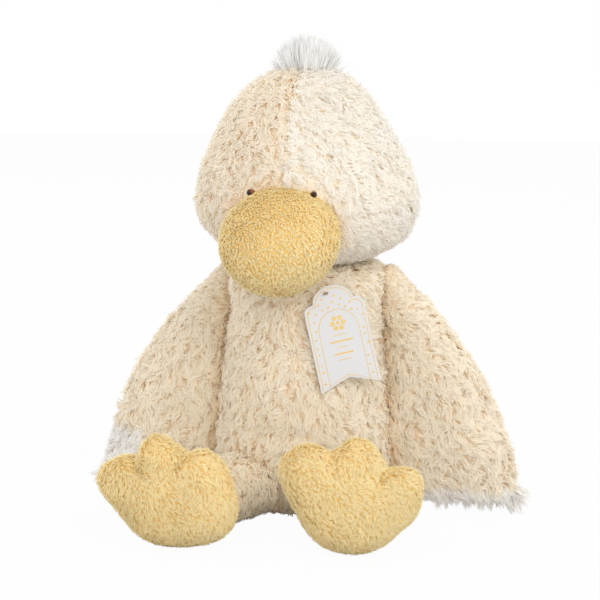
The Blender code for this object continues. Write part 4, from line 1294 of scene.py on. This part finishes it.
def dot_places(rng):
    """Dots scattered between the border and the inner panel, none near another."""
    field = np.array(DOT_FIELD)
    arch_half, arch_rise, under = DOT_ARCH
    high = TAG_LENGTH / 2 - PANEL_DROP
    over = TAG_LENGTH / 2 - TAG_ARCH_RISE - under
    placed = []
    for x, z in rng.uniform(-field, field, (DOTS_TRIED, 2)):
        panel = math.hypot(x, z - high) < DOT_ROOM if z > high else abs(x) < DOT_ROOM
        peak = over + arch_rise * math.sqrt(max(0.0, 1 - (x / arch_half) ** 2))
        near = any(math.hypot(x - a, z - b) < DOT_APART for a, b in placed)
        hole = math.hypot(x - TAG_HOLE[0], z - TAG_HOLE[1]) < DOT_FROM_HOLE
        within = abs(x) < DOT_SIDE and DOT_FOOT < z < peak
        if within and not (panel or near or hole):
            placed.append((x, z))
    return np.array(placed)


def make_print(material):
    """The gold print of the card: a border, a panel line, dots, a small plain flower and rules."""
    rng = np.random.default_rng(12)
    dots = dot_places(rng)
    middle = np.array([[0.0, FLOWER_HEIGHT]])
    petals = np.arange(PETALS) * math.tau / PETALS
    ring = PETAL_OUT * np.stack([np.cos(petals), np.sin(petals)], axis=-1)
    shapes = [
        strip(tag_border(BORDER_INSET), BORDER_LINE),
        strip(tag_arch(), PANEL_LINE),
        *(strip(np.array([[-half, low], [half, low]]), wide) for half, low, wide in TAG_RULES),
        disc(dots, rng.uniform(*DOT_RADII, len(dots))),
        disc(ring + middle, PETAL_RADIUS, FLOWER_SIDES),
        disc(middle, FLOWER_RADIUS, FLOWER_SIDES),
    ]
    points, corners, counts, base = [], [], [], 0
    for places, faces in shapes:
        points.append(places)
        corners.append((faces + base).ravel())
        counts.append(np.full(len(faces), faces.shape[1]))
        base += len(places)
    flat = np.concatenate(points)
    front = -TAG_THICK / 2 - PRINT_LIFT
    local = np.stack([flat[:, 0], np.full(len(flat), front), flat[:, 1]], axis=-1)
    places = sub_map(local, tag_placing())
    corners, counts = np.concatenate(corners), np.concatenate(counts)
    gold = mesh_object("tag_gold_print", places, corners, counts, material)
    set_map(gold, (flat / TAG_LENGTH + 0.5)[corners])
    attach(gold, "tag")


def finish_node(name, material):
    """Gives a CAD node that stays its finish."""
    slots = bpy.data.objects[name].material_slots
    for slot in slots:
        slot.material = material
    if not slots:
        bpy.data.objects[name].data.materials.append(material)


def make_head():
    """The head's two halves, the bill and the eyes."""
    cream_cloth = backing_material("cream_backing", (0.94, 0.82, 0.64), (0.96, 0.90, 0.79))
    unshaded = pile_material("cream_pile", CREAM)
    # Painted shade: the right half, which faces away from the key lamp, gets a darker copy of the
    # cream pile
    shaded = pile_material("cream_pile_shaded", CREAM_SHADED)
    halves = (
        ("left", -math.pi / 2, leaning(0.85, 0.0, -0.55), (1.1, 0.015, 0.45), unshaded, 101),
        ("right", math.pi / 2, leaning(-0.35, 0.0, -0.9), (1.5, 0.013, 0.50), shaded, 102),
    )
    for side, turn, way, swirl, pile, seed in halves:
        make_plush(Plush(
            f"head_{side}", HEAD, (0.0, 1.0, turn, turn + math.pi), HEAD_PILE, way, swirl, on_head,
            cream_cloth, pile, "cream_plush", "head", trim=head_trim, shaded_by=(BILL, TORSO),
        ), seed)
    knit_cloth = backing_material("knit_backing", (0.84, 0.58, 0.19), (0.91, 0.69, 0.30), 700.0)
    knit = pile_material("yellow_knit", YELLOW, sheen=0.15, change=0.15)
    for part, span, seed in (("upper", (0.0, math.pi), 103), ("under", (-math.pi, 0.0), 104)):
        make_plush(Plush(
            f"bill_{part}", BILL, (0.0, 1.0, *span), BILL_STITCH, leaning(0.55, -0.2, -0.8),
            (0.9, 0.007, 0.35), on_bill, knit_cloth, knit, "yellow_knit", "head", (48, 44), KNIT,
            bill_trim,
        ), seed)
    bead = bead_material()
    for side in SIDES:
        make_eye(side, bead)
    return knit_cloth, knit


def make_trunk():
    """The trunk's front and back, which meet at seams a little behind its sides."""
    cloth = backing_material("beige_backing", (0.94, 0.80, 0.62), (0.96, 0.89, 0.77))
    pile = pile_material("beige_pile", BEIGE)
    seam = TORSO_SEAM_TURN
    halves = (("front", (-math.pi - seam, seam), 111), ("back", (seam, math.pi - seam), 112))
    for part, span, seed in halves:
        make_plush(Plush(
            f"torso_{part}", TORSO, (0.0, 1.0, *span), TORSO_PILE, down_the_trunk,
            (1.1, 0.014, 0.45), on_torso, cloth, pile, "beige_plush", "torso",
            shaded_by=(*WINGS.values(), *LEGS.values()),
        ), seed)
    return cloth, pile


def make_limbs(cloth, pile, knit_cloth, knit, white):
    """Wings, legs and feet, with seeds of their own for each side and face."""
    for side, sign in SIDES.items():
        body = f"wing_{side}"
        for part, span, more in (("front", (-math.pi, 0.0), 0), ("back", (0.0, math.pi), 1)):
            make_plush(Plush(
                f"wing_{side}_{part}", WINGS[side], (0.0, 1.0, *span), WING_PILE,
                leaning(sign * 0.6, -0.1, -0.75), (1.3, 0.014, 0.45), on_wing, cloth, pile,
                "beige_plush", body, (64, 40), trim=wing_trim, shaded_by=(TORSO,),
            ), 121 + 2 * sign + more)
            grow_pile(Plush(
                f"wing_{side}_{part}_edge", WINGS[side], (0.0, 1.0, *span), EDGE_PILE,
                leaning(sign * 0.8, -0.1, -0.7), (0.5, 0.014, 0.25), on_edge, cloth, white,
                "white_pile", body,
            ), 151 + 2 * sign + more)
        forward = LEGS[side].placing[:3, 2]
        way = leaning(*(forward * 0.6 + np.array([0.0, 0.0, -0.6])))
        for part, span, more in (("under", (-math.pi, 0.0), 0), ("top", (0.0, math.pi), 1)):
            make_plush(Plush(
                f"leg_{side}_{part}", LEGS[side], (0.12, 0.97, *span), LEG_PILE, way,
                (0.8, 0.014, 0.30), on_leg(side), cloth, pile, "beige_plush", f"leg_{side}",
                (40, 28),
            ), 131 + 2 * sign + more)
        for part, span, more in (("sole", (0.0, 0.5), 0), ("instep", (0.5, 1.0), 1)):
            make_plush(Plush(
                f"foot_{side}_{part}", FEET[side], (*span, 0.0, math.tau), FOOT_STITCH,
                leaning(0.55, 0.0, -0.8), (0.8, 0.012, 0.40), on_foot(side), knit_cloth, knit,
                "yellow_knit", f"leg_{side}", (28, 96),
            ), 141 + 2 * sign + more)


def make_small_parts(fringe):
    """The white tufts, the tag, and a finish for each CAD node that stays."""
    make_tuft(pile_material("white_tuft", TUFT_WHITE, (0.0, 0.3, 0.8), 0.1, 0.06))
    for side, sign in SIDES.items():
        make_fringe(side, sign, fringe)
    make_print(foil_material())
    finish_node("tag_card", card_material())
    # The pin is clear nylon; its dark brown is painted shade, for the fur seen in shadow through
    # the hole
    brown, pale, greyed = (0.30, 0.20, 0.12), (0.70, 0.70, 0.68), (0.42, 0.41, 0.37)
    nylon = plain_material("nylon_painted_shade", brown, (0.38, 0.27, 0.17), 300.0, 0.3, 0.00002)
    finish_node("tag_pin", nylon)
    finish_node("seam_label", satin_material())
    filling = plain_material("fibrefill", pale, (0.90, 0.90, 0.88), 260.0, 0.95, 0.002)
    stuffed = [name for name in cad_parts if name.endswith(("stuffing", "wadding"))]
    for name in (*stuffed, "neck_wad"):
        finish_node(name, filling)
    beans = plain_material("bean_cloth", greyed, (0.58, 0.56, 0.50), 900.0, 0.8, 0.0004)
    finish_node("seat_bean_bag", beans)


def make_floor():
    """A plain pale floor that shows as white paper and keeps the duck's shadow."""
    corners = ((-1, -1, 0), (1, -1, 0), (1, 1, 0), (-1, 1, 0))
    points = np.array(corners) * FLOOR_HALF
    made = bpy.data.materials.new("white_paper")
    made.use_nodes = True
    s = Shader(made, made.node_tree.nodes, made.node_tree.links, None)
    s.nodes.clear()
    paper = s.nodes.new("ShaderNodeBsdfDiffuse")
    paper.inputs["Color"].default_value = FLOOR_GREY
    white = s.nodes.new("ShaderNodeEmission")
    white.inputs["Color"].default_value = PLAIN_WHITE
    seen = s.nodes.new("ShaderNodeLightPath")
    share = arithmetic(s, "MULTIPLY", seen.outputs["Is Camera Ray"], FLOOR_SHOWN)
    mixed(s, share, paper, white, s.nodes.new("ShaderNodeOutputMaterial"))
    floor = mesh_object("floor", points, np.arange(4), np.array([4]), made)


def make_world():
    """An even pale sky, white where the camera, a mirror or glass sees it."""
    world = bpy.data.worlds.new("studio")
    world.use_nodes = True
    bpy.context.scene.world = world
    s = Shader(world, world.node_tree.nodes, world.node_tree.links, None)
    sky = s.nodes["Background"]
    sky.inputs["Color"].default_value = SKY
    sky.inputs["Strength"].default_value = SKY_STRENGTH
    white = s.nodes.new("ShaderNodeBackground")
    white.inputs["Color"].default_value = PLAIN_WHITE
    seen = s.nodes.new("ShaderNodeLightPath").outputs
    share = arithmetic(s, "MAXIMUM", seen["Is Camera Ray"], seen["Is Glossy Ray"])
    share = arithmetic(s, "MAXIMUM", share, seen["Is Transmission Ray"])
    mixed(s, share, sky, white, s.nodes["World Output"])


def make_lamp(name, spot, size, watts, colour):
    """A square soft lamp that looks at the duck."""
    light = bpy.data.lights.new(name, "AREA")
    light.size = size
    light.energy = watts
    light.color = colour
    lamp = bpy.data.objects.new(name, light)
    lamp.location = spot
    lamp.rotation_euler = (Vector(spot) - LAMPS_AIM).to_track_quat("Z", "Y").to_euler()
    bpy.context.scene.collection.objects.link(lamp)


def make_studio():
    """Soft light, brighter from the duck's left, and the photograph's camera."""
    scene = bpy.context.scene
    scene.view_settings.view_transform = "Standard"
    scene.cycles.diffuse_bounces = DIFFUSE_BOUNCES
    make_world()
    for name, values in LAMPS.items():
        make_lamp(name, *values)
    level = math.cos(CAMERA_LIFT)
    east, north = math.sin(CAMERA_TURN) * level, -math.cos(CAMERA_TURN) * level
    back = Vector((east, north, math.sin(CAMERA_LIFT)))
    camera = bpy.data.cameras.new("camera")
    camera.lens = LENS
    camera.sensor_width = SENSOR
    camera.clip_start = CLIP_NEAR
    eye = bpy.data.objects.new("camera", camera)
    eye.location = AIM + back * CAMERA_FAR
    eye.rotation_euler = back.to_track_quat("Z", "Y").to_euler()
    scene.collection.objects.link(eye)
    scene.camera = eye


knit_cloth, knit = make_head()
cloth, pile = make_trunk()
white = pile_material("white_fringe", FRINGE_WHITE, (0.0, 0.4, 0.9), 0.1, 0.16)
make_limbs(cloth, pile, knit_cloth, knit, white)
make_small_parts(white)
make_floor()
make_studio()
